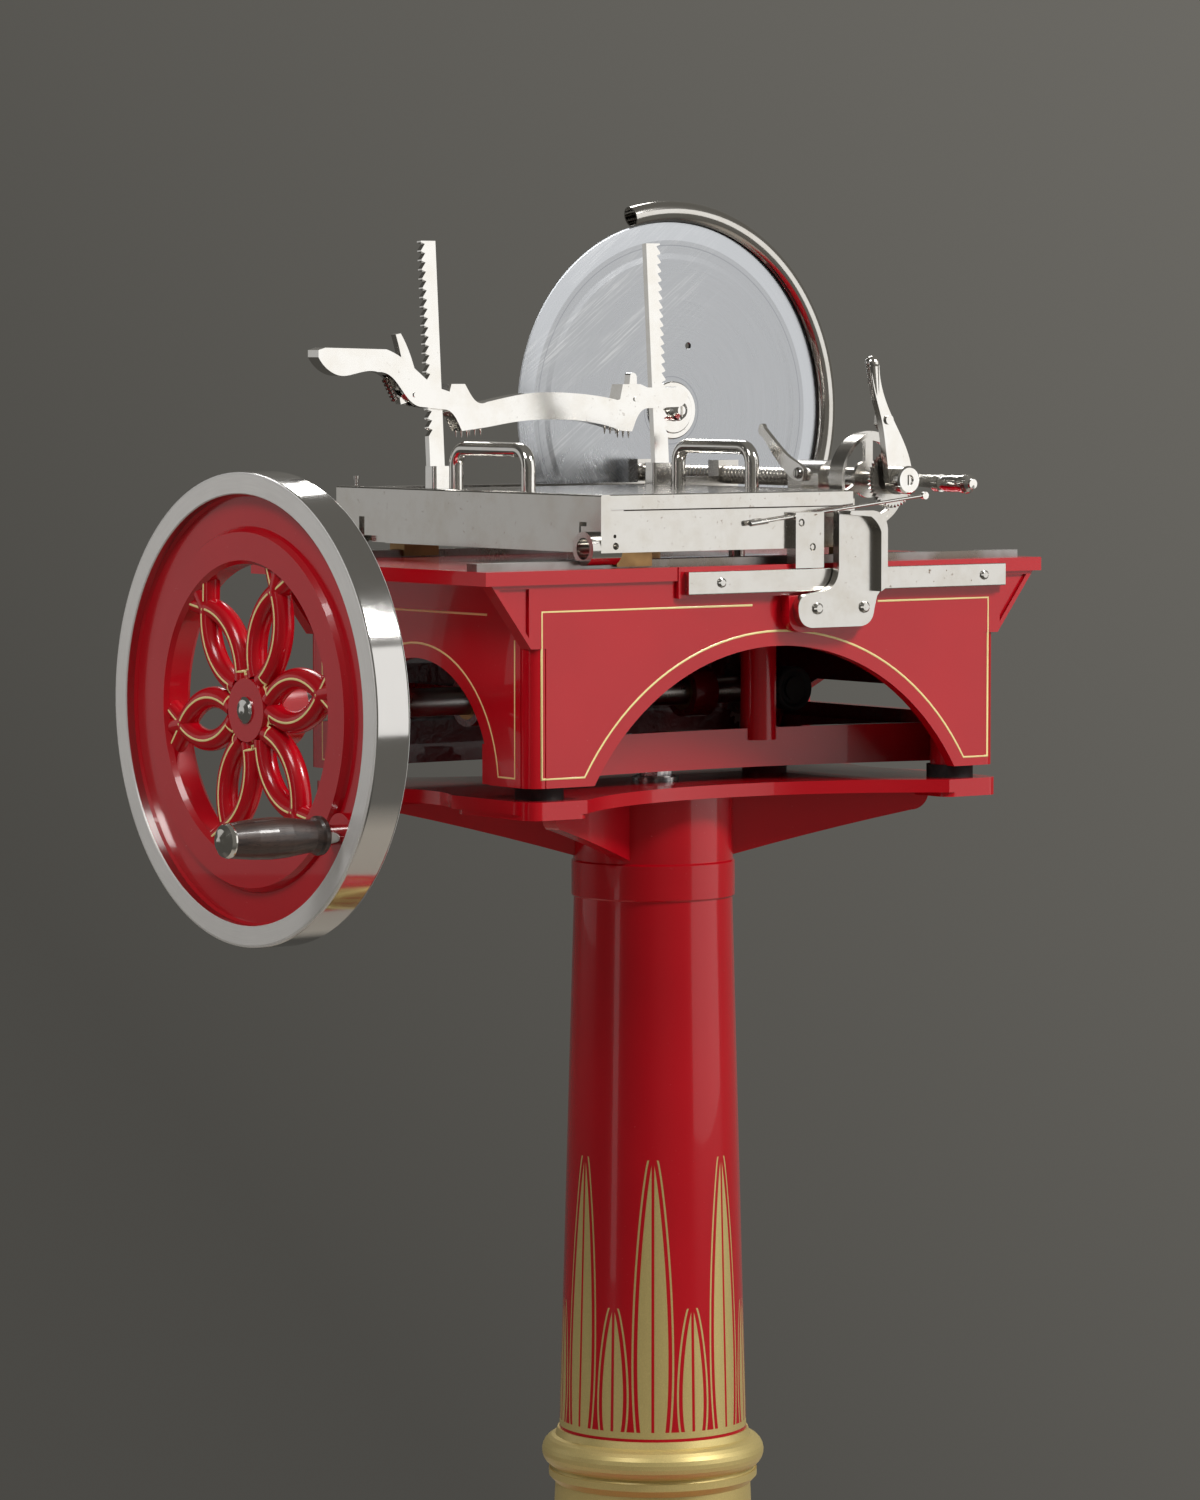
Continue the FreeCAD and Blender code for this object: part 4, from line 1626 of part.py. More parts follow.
def thickness_ring():
    """The round thickness gauge with a rim on its left side."""
    at0 = (SCREW_X, RING_Y, SCREW_Z)
    at1 = (SCREW_X, RING_Y + RING_T, SCREW_Z)
    ring = pipe(at0, at1, RING_R_OUT, RING_R_IN)
    hub = rod(at0, at1, 16.0)
    spokes = []
    for degrees in (90, 210, 330):
        spoke = box(10, RING_R_IN + 2, 0, RING_T, -4, 4)
        spoke.rotate(V(0, 0, 0), Y_AXIS, -degrees)
        spoke.translate(V(*at0))
        spokes.append(spoke)
    rim = pipe((SCREW_X, RING_Y - RING_RIM, SCREW_Z), at1, RING_R_OUT, RING_R_OUT - 3)
    rim = rim.cut(box(SCREW_X - 12, SCREW_X + 60, RING_Y - 30, RING_Y - 0.01, SCREW_Z - 60, SCREW_Z + 60))
    body = fuse([ring, hub, rim] + spokes)
    return body.cut(rod((SCREW_X, RING_Y - 1, SCREW_Z), (SCREW_X, RING_Y + RING_T + 1, SCREW_Z), 10.0 + FIT))


def ratchet_wheel():
    """The saw-toothed wheel on the feed screw."""
    points = []
    for k in range(RATCHET_TEETH):
        a0 = 2 * math.pi * k / RATCHET_TEETH
        a1 = 2 * math.pi * (k + 0.75) / RATCHET_TEETH
        points.append((RATCHET_R * math.cos(a0), RATCHET_R * math.sin(a0)))
        points.append(((RATCHET_R - 3) * math.cos(a1), (RATCHET_R - 3) * math.sin(a1)))
    outline = polygon([(SCREW_X + x, SCREW_Z + z) for x, z in points])
    wheel = slab_xz(outline, RATCHET_Y, RATCHET_Y + RATCHET_T)
    hub = rod((SCREW_X, RATCHET_Y, SCREW_Z), (SCREW_X, RATCHET_Y + RATCHET_T + 5, SCREW_Z), 12.0)
    wheel = fuse([wheel, hub])
    return wheel.cut(rod((SCREW_X, RATCHET_Y - 1, SCREW_Z), (SCREW_X, RATCHET_Y + 20, SCREW_Z),
                         JOURNAL_R + FIT))


def feed_crank():
    """The small hand crank's arm and spindle."""
    y0 = CRANK_ARM_Y
    y1 = y0 + CRANK_ARM_T
    tip_x = SCREW_X + CRANK_ARM_L
    arm = slab_xz([("line", [(SCREW_X, SCREW_Z - 11)]),
                   ("curve", [(SCREW_X + 24, SCREW_Z - 7), (tip_x - 14, SCREW_Z - 7.5),
                              (tip_x, SCREW_Z - 10)]),
                   ("line", [(tip_x, SCREW_Z + 2)]),
                   ("curve", [(tip_x - 14, SCREW_Z + 3), (SCREW_X + 24, SCREW_Z + 5),
                              (SCREW_X, SCREW_Z + 11)])],
                  y0, y1)
    hub = rod((SCREW_X, y0, SCREW_Z), (SCREW_X, y1, SCREW_Z), 12.0)
    end = rod((tip_x, y0, SCREW_Z - 4), (tip_x, y1, SCREW_Z - 4), 7.5)
    spindle = rod((tip_x, y0 - KNOB_HANDLE_L + 2, SCREW_Z - 4), (tip_x, y1, SCREW_Z - 4), 3.0)
    body = fuse([arm, hub, end, spindle])
    return body.cut(rod((SCREW_X, y0 - 1, SCREW_Z), (SCREW_X, y1 + 1, SCREW_Z), JOURNAL_R + RUN))


def feed_knob():
    """The turning handle of the small crank."""
    x = SCREW_X + CRANK_ARM_L
    y = CRANK_ARM_Y - GAP
    r = KNOB_HANDLE_R
    bore = 3.0 + RUN
    profile = [(bore, 0), (r - 1.5, 0), (r - 0.4, 6), (r, 16), (r - 0.6, 26), (r - 1.0, 28), (r + 0.6, 29),
               (r + 0.8, 34), (r - 0.5, 38), (4.6, 40), (4.2, KNOB_HANDLE_L), (0, KNOB_HANDLE_L + 0.6),
               (0, KNOB_HANDLE_L - 1), (bore, KNOB_HANDLE_L - 1)]
    return turned(profile, (x, y, SCREW_Z - 4), (0, -1, 0))


def index_lever():
    """The ball-ended lever that turns the ratchet, with its pawl's rivet."""
    tx, tz = LEVER_TOP
    outline = [("line", [(SCREW_X - 12.5, SCREW_Z)]),
               ("curve", [(SCREW_X - 16, SCREW_Z + 22), (SCREW_X - 21, SCREW_Z + 50),
                          (SCREW_X + tx + 1, SCREW_Z + 72), (SCREW_X + tx - 3.5, SCREW_Z + tz - 4)]),
               ("line", [(SCREW_X + tx + 5, SCREW_Z + tz - 3)]),
               ("curve", [(SCREW_X + tx + 8, SCREW_Z + 78), (SCREW_X - 9, SCREW_Z + 52),
                          (SCREW_X + 4, SCREW_Z + 30), (SCREW_X + 12.5, SCREW_Z)])]
    plate = slab_xz(outline, LEVER_Y, LEVER_Y + LEVER_T)
    hub = rod((SCREW_X, LEVER_Y, SCREW_Z), (SCREW_X, LEVER_Y + LEVER_T, SCREW_Z), 12.5)
    middle = LEVER_Y + LEVER_T / 2
    end = ball((SCREW_X + tx, middle, SCREW_Z + tz - 3), 6.2)
    taper = cone((SCREW_X + tx + 4, middle, SCREW_Z + tz - 34), (SCREW_X + tx, middle, SCREW_Z + tz - 5),
                 3.4, 5.6)
    body = fuse([plate, hub, end, taper, pawl_rivet()])
    return body.cut(rod((SCREW_X, LEVER_Y - 1, SCREW_Z), (SCREW_X, LEVER_Y + LEVER_T + 1, SCREW_Z),
                        5.0 + RUN))


def pawl_rivet():
    """The rivet that carries the feed pawl."""
    rx, rz = RIVET_AT
    x, z = SCREW_X + rx, SCREW_Z + rz
    pin = rod((x, LEVER_Y - 1, z), (x, LEVER_Y + LEVER_T + 6, z), 2.5)
    head = rod((x, LEVER_Y - 2.0, z), (x, LEVER_Y, z), 4.0)
    return fuse([pin, head])


def feed_pawl():
    """The pawl that drops into the ratchet's teeth."""
    rx, rz = RIVET_AT
    x, z = SCREW_X + rx, SCREW_Z + rz
    y0 = LEVER_Y + LEVER_T + GAP
    tip_z = SCREW_Z + RATCHET_R + 1.2
    outline = [("line", [(x + 5, z - 2), (x + 4, z + 4), (x - 5, z + 4), (x - 6, z - 4)]),
               ("curve", [(x + 1, z - 12), (SCREW_X - 3, tip_z)]),
               ("line", [(SCREW_X + 1.5, tip_z + 1)]),
               ("curve", [(x + 8, z - 10), (x + 5, z - 2)])]
    pawl = slab_xz(outline, y0, y0 + 5)
    return pawl.cut(rod((x, y0 - 1, z), (x, y0 + 8, z), 2.5 + RUN))


def lever_cap():
    """The round slotted cap on the screw's front end."""
    y1 = LEVER_Y - GAP
    y0 = y1 - KNOB_T
    profile = [(0, 1.6), (4.2, 1.6), (4.6, 0), (KNOB_R - 1.5, 0), (KNOB_R, 1.5), (KNOB_R, KNOB_T),
               (0, KNOB_T)]
    cap = turned(profile, (SCREW_X, y0, SCREW_Z), (0, 1, 0))
    slot = box(SCREW_X - 0.8, SCREW_X + 0.8, y0 - 1, y0 + 2.6, SCREW_Z - 4.4, SCREW_Z + 4.4)
    bore = rod((SCREW_X, LEVER_Y - 8 - FIT, SCREW_Z), (SCREW_X, y1 + 1, SCREW_Z), 5.0 + FIT)
    return cut(cap, [slot, bore])


def release_lever():
    """The spoon lever that frees the nut."""
    x1 = SCREW_X - HOUSING_W / 2 - GAP
    x0 = x1 - 4.0
    py, pz = LATCH_PIN_Y, LATCH_PIN_Z
    ty, tz = LATCH_TIP
    outline = [("curve", [(py - 6, pz - 6), (py + 4, pz - 6.5), (py + 14, pz - 2), (ty - 14, tz - 20),
                          (ty - 2, tz - 8)]),
               ("curve", [(ty + 2.5, tz - 1), (ty, tz + 2.5), (ty - 5, tz - 1)]),
               ("curve", [(ty - 22, tz - 14), (py + 10, pz + 12), (py, pz + 8), (py - 8, pz + 3)])]
    plate = slab_yz(outline, x0, x1)
    return plate.cut(rod((x0 - 1, py, pz), (x1 + 1, py, pz), 2.5 + RUN))


def latch_screw():
    """The slotted screw that the release lever turns on."""
    x1 = SCREW_X - HOUSING_W / 2 - GAP - 4.0 - GAP
    return slotted_screw((x1, LATCH_PIN_Y, LATCH_PIN_Z), (-1, 0, 0), 5.0, 2.6, 11.0)


# ---------------------------------------------------------------- all nodes
NODES = {
    "pedestal_foot": pedestal_foot,
    "pedestal_ring": pedestal_ring,
    "pedestal_column": pedestal_column,
    "pedestal_head": pedestal_head,
    "rubber_pads": rubber_pads,
    "base_casting": base_casting,
    "hex_bolts": hex_bolts,
    "front_rail": front_rail,
    "striker_bracket": striker_bracket,
    "slotted_screws": slotted_screws,
    "slide_rails": slide_rails,
    "bronze_bushes": bronze_bushes,
    "knife_bracket": knife_bracket,
    "chain_cover": chain_cover,
    "drive_chain": drive_chain,
    "blade_guard": blade_guard,
    "flywheel": flywheel,
    "flywheel_rim": flywheel_rim,
    "flywheel_shaft": flywheel_shaft,
    "hub_nut": hub_nut,
    "crank_spindle": crank_spindle,
    "crank_drive_gear": crank_drive_gear,
    "knife_drive_gear": knife_drive_gear,
    "grip": grip,
    "grip_cap": grip_cap,
    "crank_disc": crank_disc,
    "crank_gear": crank_gear,
    "connecting_rod": connecting_rod,
    "cross_shaft": cross_shaft,
    "knife_pinion": knife_pinion,
    "lower_sprocket": lower_sprocket,
    "upper_sprocket": upper_sprocket,
    "blade": blade,
    "blade_hub_ring": blade_hub_ring,
    "blade_nut": blade_nut,
    "blade_shaft": blade_shaft,
    "carriage_frame": carriage_frame,
    "slide_shoes": slide_shoes,
    "guide_block": guide_block,
    "carriage_screws": carriage_screws,
    "actuating_rod": actuating_rod,
    "screw_housing": screw_housing,
    "thickness_ring": thickness_ring,
    "feed_table": feed_table,
    "grab_handles": grab_handles,
    "rack_posts": rack_posts,
    "post_sockets": post_sockets,
    "feed_nut": feed_nut,
    "clamp_arm": clamp_arm,
    "clamp_pins": clamp_pins,
    "clamp_pawl": clamp_pawl,
    "pawl_spring": pawl_spring,
    "feed_screw": feed_screw,
    "ratchet_wheel": ratchet_wheel,
    "lever_cap": lever_cap,
    "index_lever": index_lever,
    "feed_pawl": feed_pawl,
    "feed_crank": feed_crank,
    "feed_knob": feed_knob,
    "release_lever": release_lever,
}


def main():
    """Write one STEP file per node."""
    os.makedirs("parts", exist_ok=True)
    for name, make in NODES.items():
        make().exportStep(os.path.join("parts", name + ".step"))


main()
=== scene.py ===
"""Finishes, painted lines, ornament, stage and camera of a flywheel meat slicer on a pedestal.

Metres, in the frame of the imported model: origin on the floor at the pedestal's axis, +Z up,
X along the flywheel's shaft, Y along the blade's shaft.
"""
import math

import bpy
from bpy.props import FloatProperty, FloatVectorProperty, IntProperty, PointerProperty
from mathutils import Euler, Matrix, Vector


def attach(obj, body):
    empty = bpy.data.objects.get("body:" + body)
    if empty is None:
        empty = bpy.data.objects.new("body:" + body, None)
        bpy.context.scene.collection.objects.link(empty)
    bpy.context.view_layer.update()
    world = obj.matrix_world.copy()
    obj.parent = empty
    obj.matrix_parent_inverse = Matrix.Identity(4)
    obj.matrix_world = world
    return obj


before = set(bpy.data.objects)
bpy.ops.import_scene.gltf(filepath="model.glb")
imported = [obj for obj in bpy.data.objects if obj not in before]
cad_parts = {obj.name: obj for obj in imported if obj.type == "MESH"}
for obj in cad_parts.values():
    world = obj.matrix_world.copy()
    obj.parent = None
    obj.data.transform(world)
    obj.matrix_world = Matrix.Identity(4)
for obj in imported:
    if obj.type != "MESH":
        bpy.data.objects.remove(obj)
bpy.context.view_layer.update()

bl_info = {
    "name": "Flywheel meat slicer",
    "version": (1, 0, 0),
    "blender": (4, 5, 0),
    "location": "3D View > Sidebar > Slicer",
    "description": "Finishes, painted lines and stage of a hand cranked meat slicer",
    "category": "Object",
}

# Flywheel: the wheel's face looks to -X.
WHEEL_Z = 0.920          # height of its shaft
WHEEL_FACE = -0.4200     # front of the rim
WHEEL_BACK = -0.3860
WHEEL_PLANE = -0.4063    # middle of the petals along X
RIM_ROUND = 0.0012       # how far the rim's ground faces reach round its corners
PETALS = 6
PETAL_PHASE = 9.5        # degrees of the first petal past -Y
PETAL_TUBE = 0.009       # a petal's round section
PETAL_ROOT = 0.027       # where a petal starts and ends, from the hub's axis
PETAL_TIP = 0.1036
PETAL_HALF = 0.0175      # half a petal's width between the middles of its sides
LEG_REACH = 0.0194       # the two legs that run on from a petal's tip: outward and sideways
LEG_SPREAD = 0.017
PETAL_LINE_FROM = 0.032  # where the lining starts on a petal
HUB_LINE_X = -0.41195    # the lining on the hub's shoulder
HUB_LINE_R = 0.0292
GRIP_Z = 0.828           # height of the grip's axis at rest

# Blade
BLADE_CENTRE = Vector((0.197, 0.236, 1.157))
BEVEL_R = 0.1530         # where the ground edge starts
EDGE_R = 0.1690          # the sharp border
TURNED_LINES = ((0.1480, 0.1488), (0.0300, 0.0308))

# Base, the box that carries the slicer
BASE_FRONT_Y = -0.158
BASE_LEFT_X = -0.243
BASE_RIGHT_X = 0.251
FRONT_ARCH = ((0.012, 0.744), 0.222)     # centre in X and Z, radius
LEFT_ARCH = ((0.005, 0.852), 0.105)      # centre in Y and Z, radius
LINE_LOW = 0.8645        # bottom of the lining
LINE_HIGH = 1.0005       # its top on the front
LINE_CROWN = 0.9965      # its top on the ends

# Column and foot
COLUMN_R = 0.0785        # the column's radius at the leaves
LEAF_FOOT = 0.292        # height where the leaves stand
FLARE_Z = 0.186          # the foot is gilt above this height
FOOT_LINE = (0.1930, 0.1960)

SINK = 0.8               # share of a painted line's bead that lies under the surface

# Stage
FLOOR_R = 14.0
FLOOR_MELT = (0.92, 0.42)    # radius where the floor is half melted into the backdrop, and the width
CAMERA_AT = (-3.0869, -4.0907, 1.2223)
CAMERA_DIP = 3.927       # degrees that the camera looks down
CAMERA_TURN = -36.53
CAMERA_LENS = 144.144
SENSOR = 36.0


# ---------------------------------------------------------------- shader sums
def feed(tree, value, socket):
    """Puts a number, a colour or another socket on an input."""
    if isinstance(value, Wire):
        tree.links.new(value.socket, socket)
    else:
        socket.default_value = value


def sums(tree, operation, *values):
    """One Math node."""
    node = tree.nodes.new("ShaderNodeMath")
    node.operation = operation
    for value, socket in zip(values, node.inputs):
        feed(tree, value, socket)
    return Wire(tree, node.outputs[0])


class Wire:
    """A value in a shader tree that stands in plain sums."""

    def __init__(self, tree, socket):
        self.tree = tree
        self.socket = socket

    def __add__(self, other):
        return sums(self.tree, "ADD", self, other)

    def __radd__(self, other):
        return sums(self.tree, "ADD", other, self)

    def __sub__(self, other):
        return sums(self.tree, "SUBTRACT", self, other)

    def __rsub__(self, other):
        return sums(self.tree, "SUBTRACT", other, self)

    def __mul__(self, other):
        return sums(self.tree, "MULTIPLY", self, other)

    def __rmul__(self, other):
        return sums(self.tree, "MULTIPLY", other, self)

    def __truediv__(self, other):
        return sums(self.tree, "DIVIDE", self, other)

    def __pow__(self, other):
        return sums(self.tree, "POWER", self, other)

    def __abs__(self):
        return sums(self.tree, "ABSOLUTE", self)

    def call(self, operation, *others):
        """A Math node that Python has no sign for."""
        return sums(self.tree, operation, self, *others)

    def above(self, edge, soft):
        """1 where the value is over the edge, with a soft border."""
        return ((self - edge) / soft + 0.5).call("MAXIMUM", 0.0).call("MINIMUM", 1.0)

    def below(self, edge, soft):
        """1 where the value is under the edge, with a soft border."""
        return 1.0 - self.above(edge, soft)


class Finish:
    """A material with one Principled shader and the nodes that vary it."""

    def __init__(self, name, constants):
        self.material = bpy.data.materials.new(name)
        self.material.use_nodes = True
        self.tree = self.material.node_tree
        self.shader = self.tree.nodes["Principled BSDF"]
        for socket, value in constants.items():
            self.shader.inputs[socket].default_value = value

    def node(self, kind, settings, values, output=0):
        """Any node: its settings first, then its inputs by name or number."""
        node = self.tree.nodes.new(kind)
        for key, value in settings.items():
            setattr(node, key, value)
        for key, value in values.items():
            feed(self.tree, value, node.inputs[key])
        return Wire(self.tree, node.outputs[output])

    def place(self):
        """The point on the piece, in metres."""
        return self.node("ShaderNodeTexCoord", {}, {}, "Object")

    def axes(self):
        """The point's X, Y and Z."""
        split = self.tree.nodes.new("ShaderNodeSeparateXYZ")
        self.tree.links.new(self.place().socket, split.inputs[0])
        return [Wire(self.tree, out) for out in split.outputs]

    def point(self, x, y, z):
        """A vector from three values."""
        return self.node("ShaderNodeCombineXYZ", {}, {0: x, 1: y, 2: z})

    def noise(self, scale, detail=2.0, at=None, rough=0.5):
        """Soft cloudy noise about 0.5."""
        return self.node("ShaderNodeTexNoise", {}, {"Vector": at or self.place(), "Scale": scale,
                                                    "Detail": detail, "Roughness": rough})

    def mix(self, factor, first, second):
        """Two colours by a factor."""
        return self.node("ShaderNodeMix", {"data_type": "RGBA"}, {0: factor, 6: first, 7: second}, 2)

    def put(self, socket, value):
        """Feeds one of the shader's own inputs."""
        feed(self.tree, value, self.shader.inputs[socket])

    def bump(self, layers):
        """Stacks bumps: each layer is (height, strength, distance in metres)."""
        below = None
        for height, strength, distance in layers:
            values = {"Height": height, "Strength": strength, "Distance": distance}
            if below is not None:
                values["Normal"] = below
            below = self.node("ShaderNodeBump", {}, values)
        self.put("Normal", below)


def shade(nodes, finish):
    """Gives CAD nodes a finish through their material slots."""
    for name in nodes:
        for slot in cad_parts[name].material_slots:
            slot.material = finish.material


def opaque(colour):
    """A colour property with alpha."""
    return (colour[0], colour[1], colour[2], 1.0)


# ---------------------------------------------------------------- finishes
def enamel(finish, colour, painted_shade):
    """Gloss enamel on a casting: soft clouds, wipe marks, dust and a little orange peel; an optional mask
    darkens it to a tenth as painted shade, with a rough bump there.
    """
    cloud = finish.noise(7.0, 3.0)
    body = finish.mix(cloud.above(0.5, 0.5), opaque(colour), opaque([c * 0.86 for c in colour]))
    dust = finish.noise(620.0, 2.0).above(0.77, 0.04) * finish.noise(30.0, 2.0).above(0.5, 0.3)
    body = finish.mix(dust * 0.35, body, (0.75, 0.45, 0.45, 1.0))
    wipes = finish.noise(24.0, 6.0, rough=0.65)
    finish.put("Roughness", 0.15 + wipes * 0.16 + dust * 0.3)
    swell = [(finish.noise(14.0, 2.0), 0.10, 0.0016), (finish.noise(330.0, 1.0), 0.04, 0.0004)]
    if painted_shade is None:
        finish.bump(swell)
        return body
    finish.bump(swell + [(finish.noise(85.0, 5.0) * painted_shade, 0.9, 0.0022)])
    # darkens the colour to a tenth where the mask is: painted shade
    return finish.mix(painted_shade, body, opaque([c * 0.10 for c in colour]))


ENAMEL_COAT = {"IOR": 1.45, "Specular IOR Level": 0.40, "Coat Weight": 0.40, "Coat Roughness": 0.025,
               "Metallic": 0.0}


def casting_enamel(paint):
    """Enamel of the base, with painted shade inside the box: dark and rough there."""
    finish = Finish("casting_enamel", ENAMEL_COAT)
    x, y, z = finish.axes()
    walls = abs(x - 0.004).above(0.238, 0.001) + y.below(-0.1492, 0.001) + y.above(0.1602, 0.001)
    inside = (1.0 - walls.call("MINIMUM", 1.0)) * z.below(1.0235, 0.001)
    # the deep inside of the box, darkened as painted shade
    shaded_inside = inside * (y.above(-0.048, 0.02) + z.above(0.980, 0.03)).call("MINIMUM", 1.0)
    finish.put("Base Color", enamel(finish, paint.red, shaded_inside * 0.9))
    return finish


def plain_enamel(paint):
    """Enamel of the other castings."""
    finish = Finish("red_enamel", ENAMEL_COAT)
    finish.put("Base Color", enamel(finish, paint.red, None))
    return finish


def gilt_parts(finish, paint):
    """Colour and roughness of bronze powder paint."""
    grains = finish.noise(1400.0, 1.0)
    cloud = finish.noise(12.0, 3.0)
    gold = opaque(paint.gold)
    pale = opaque([min(1.0, c * 1.22 + 0.02) for c in paint.gold])
    colour = finish.mix(grains.above(0.55, 0.2) * 0.55, gold, pale)
    colour = finish.mix(cloud * 0.25, colour, opaque([c * 0.8 for c in paint.gold]))
    return colour, 0.36 + grains * 0.12 + cloud * 0.05


def column_enamel(paint, look):
    """The column's enamel with its painted gold leaves, which alternate tall and short."""
    finish = Finish("column_enamel", ENAMEL_COAT)
    x, y, z = finish.axes()
    turn = x.call("ARCTAN2", y) / (2.0 * math.pi) * look.leaves + look.turn
    reach = 2.0 * math.pi * COLUMN_R / look.leaves

    def leaf(shift, foot, height, width):
        """Masks of one ring of pointed leaves: blade with its vein cut out, and outline."""
        side = abs((turn + shift).call("FRACT") - 0.5) * reach
        rise = (z - foot) / height
        there = rise.above(0.0, 0.004) * rise.below(1.0, 0.004)
        half = ((1.0 - rise).call("MAXIMUM", 0.0) ** 0.8) * (rise.call("MAXIMUM", 0.0) + 0.12) ** 0.45
        half = half * width
        blade = (half - side).above(0.0, 0.0005) * side.above(0.0013, 0.0005)
        rim = half + 0.0050
        outline = (rim - side).above(0.0, 0.0005) * (side - rim).above(-0.0016, 0.0005)
        return blade * there, outline * there

    tall, tall_rim = leaf(0.0, LEAF_FOOT, look.height, 0.026)
    short, short_rim = leaf(0.5, LEAF_FOOT, look.height * 0.46, 0.019)
    bands = z.above(0.2895, 0.0004) * z.below(0.2950, 0.0004)
    gilt = (tall + tall_rim + short + short_rim + bands).call("MINIMUM", 1.0)
    colour, rough = gilt_parts(finish, paint)
    finish.put("Base Color", finish.mix(gilt, enamel(finish, paint.red, None), colour))
    finish.put("Metallic", gilt * 0.55)
    finish.put("Roughness", gilt * rough + (1.0 - gilt) * 0.22)
    finish.put("Coat Weight", 0.40 - gilt * 0.28)
    return finish


def foot_enamel(paint):
    """The foot: a gilt flare above, enamel with a gilt line below."""
    finish = Finish("foot_enamel", ENAMEL_COAT)
    x, y, z = finish.axes()
    radius = (x * x + y * y).call("SQRT")
    lines = radius.above(FOOT_LINE[0], 0.0005) * radius.below(FOOT_LINE[1], 0.0005) * z.above(0.03, 0.002)
    gilt = (z.above(FLARE_Z, 0.0008) + lines).call("MINIMUM", 1.0)
    colour, rough = gilt_parts(finish, paint)
    finish.put("Base Color", finish.mix(gilt, enamel(finish, paint.red, None), colour))
    finish.put("Metallic", gilt * 0.55)
    finish.put("Roughness", gilt * rough + (1.0 - gilt) * 0.22)
    finish.put("Coat Weight", 0.40 - gilt * 0.30)
    return finish


def gilt(paint):
    """Satin gold of the column's ring."""
    finish = Finish("gold_paint", {"Coat Weight": 0.15, "Coat Roughness": 0.2, "Metallic": 0.55})
    colour, rough = gilt_parts(finish, paint)
    finish.put("Base Color", colour)
    finish.put("Roughness", rough)
    finish.bump([(finish.noise(500.0, 2.0), 0.06, 0.0004)])
    return finish


def line_paint(paint):
    """Hand-laid pale lining paint."""
    finish = Finish("lining_paint", {"Coat Weight": 0.5, "Coat Roughness": 0.08})
    streaks = finish.noise(300.0, 2.0)
    pale = opaque(paint.lines)
    finish.put("Base Color", finish.mix(streaks * 0.35, pale, opaque([c * 0.85 for c in paint.lines])))
    finish.put("Roughness", 0.30 + streaks * 0.12)
    return finish


def nickel(name, plate, smooth, tarnish):
    """Nickel plate: buffed waves, wipe marks and a few brown freckles."""
    finish = Finish(name, {"Metallic": 1.0})
    smudge = finish.noise(38.0, 5.0, rough=0.6)
    warm = opaque((plate[0] * 0.90, plate[1] * 0.87, plate[2] * 0.82))
    colour = finish.mix(smudge.above(0.56, 0.25) * 0.6, opaque(plate), warm)
    freckles = finish.noise(260.0, 3.0).above(0.70, 0.06) * finish.noise(22.0, 2.0).above(0.52, 0.2)
    colour = finish.mix(freckles * tarnish, colour, (0.20, 0.13, 0.08, 1.0))
    finish.put("Base Color", colour)
    finish.put("Roughness", smooth + smudge * 0.10 + freckles * 0.2)
    x, y, z = finish.axes()
    fine = finish.noise(1.0, 3.0, at=finish.point(x * 90.0, y * 1400.0, z * 1400.0))
    finish.bump([(finish.noise(26.0, 2.0), 0.12, 0.0009), (fine, 0.05, 0.0002)])
    return finish


def tyre_steel(metal):
    """The flywheel's rim: ground on its face in circles, with the face painted paler and mostly
    non-metallic as a painted sheen, bright on its tread.
    """
    finish = Finish("rim_steel", {})
    x, y, z = finish.axes()
    up = z - WHEEL_Z
    radius = (y * y + up * up).call("SQRT")
    angle = y.call("ARCTAN2", up)
    face = x.below(WHEEL_FACE + RIM_ROUND, 0.0008) + x.above(WHEEL_BACK - RIM_ROUND, 0.0008)
    grind = finish.noise(1.0, 4.0, at=finish.point(radius * 1700.0, angle * 5.0, 0.0))
    hoops = finish.noise(1.0, 3.0, at=finish.point(x * 1500.0, angle * 4.0, 3.0))
    smudge = finish.noise(30.0, 5.0, rough=0.6)
    pale = opaque(metal.steel)
    # the face is painted paler than the steel: a painted sheen
    colour = finish.mix(face, pale, opaque([c * 1.36 for c in metal.steel]))
    dull = opaque([c * 0.78 for c in metal.steel])
    colour = finish.mix(grind * 0.4 * face + smudge * 0.2, colour, dull)
    finish.put("Base Color", colour)
    # the face is made mostly non-metallic so that its pale colour shows as a painted sheen
    finish.put("Metallic", 1.0 - face * 0.7)
    finish.put("Roughness", 0.05 + face * 0.25 + smudge * 0.08)
    finish.bump([(grind * face + hoops * (1.0 - face) * 0.25, 0.10, 0.0004),
                 (finish.noise(12.0, 1.0), 0.05, 0.0016)])
    return finish


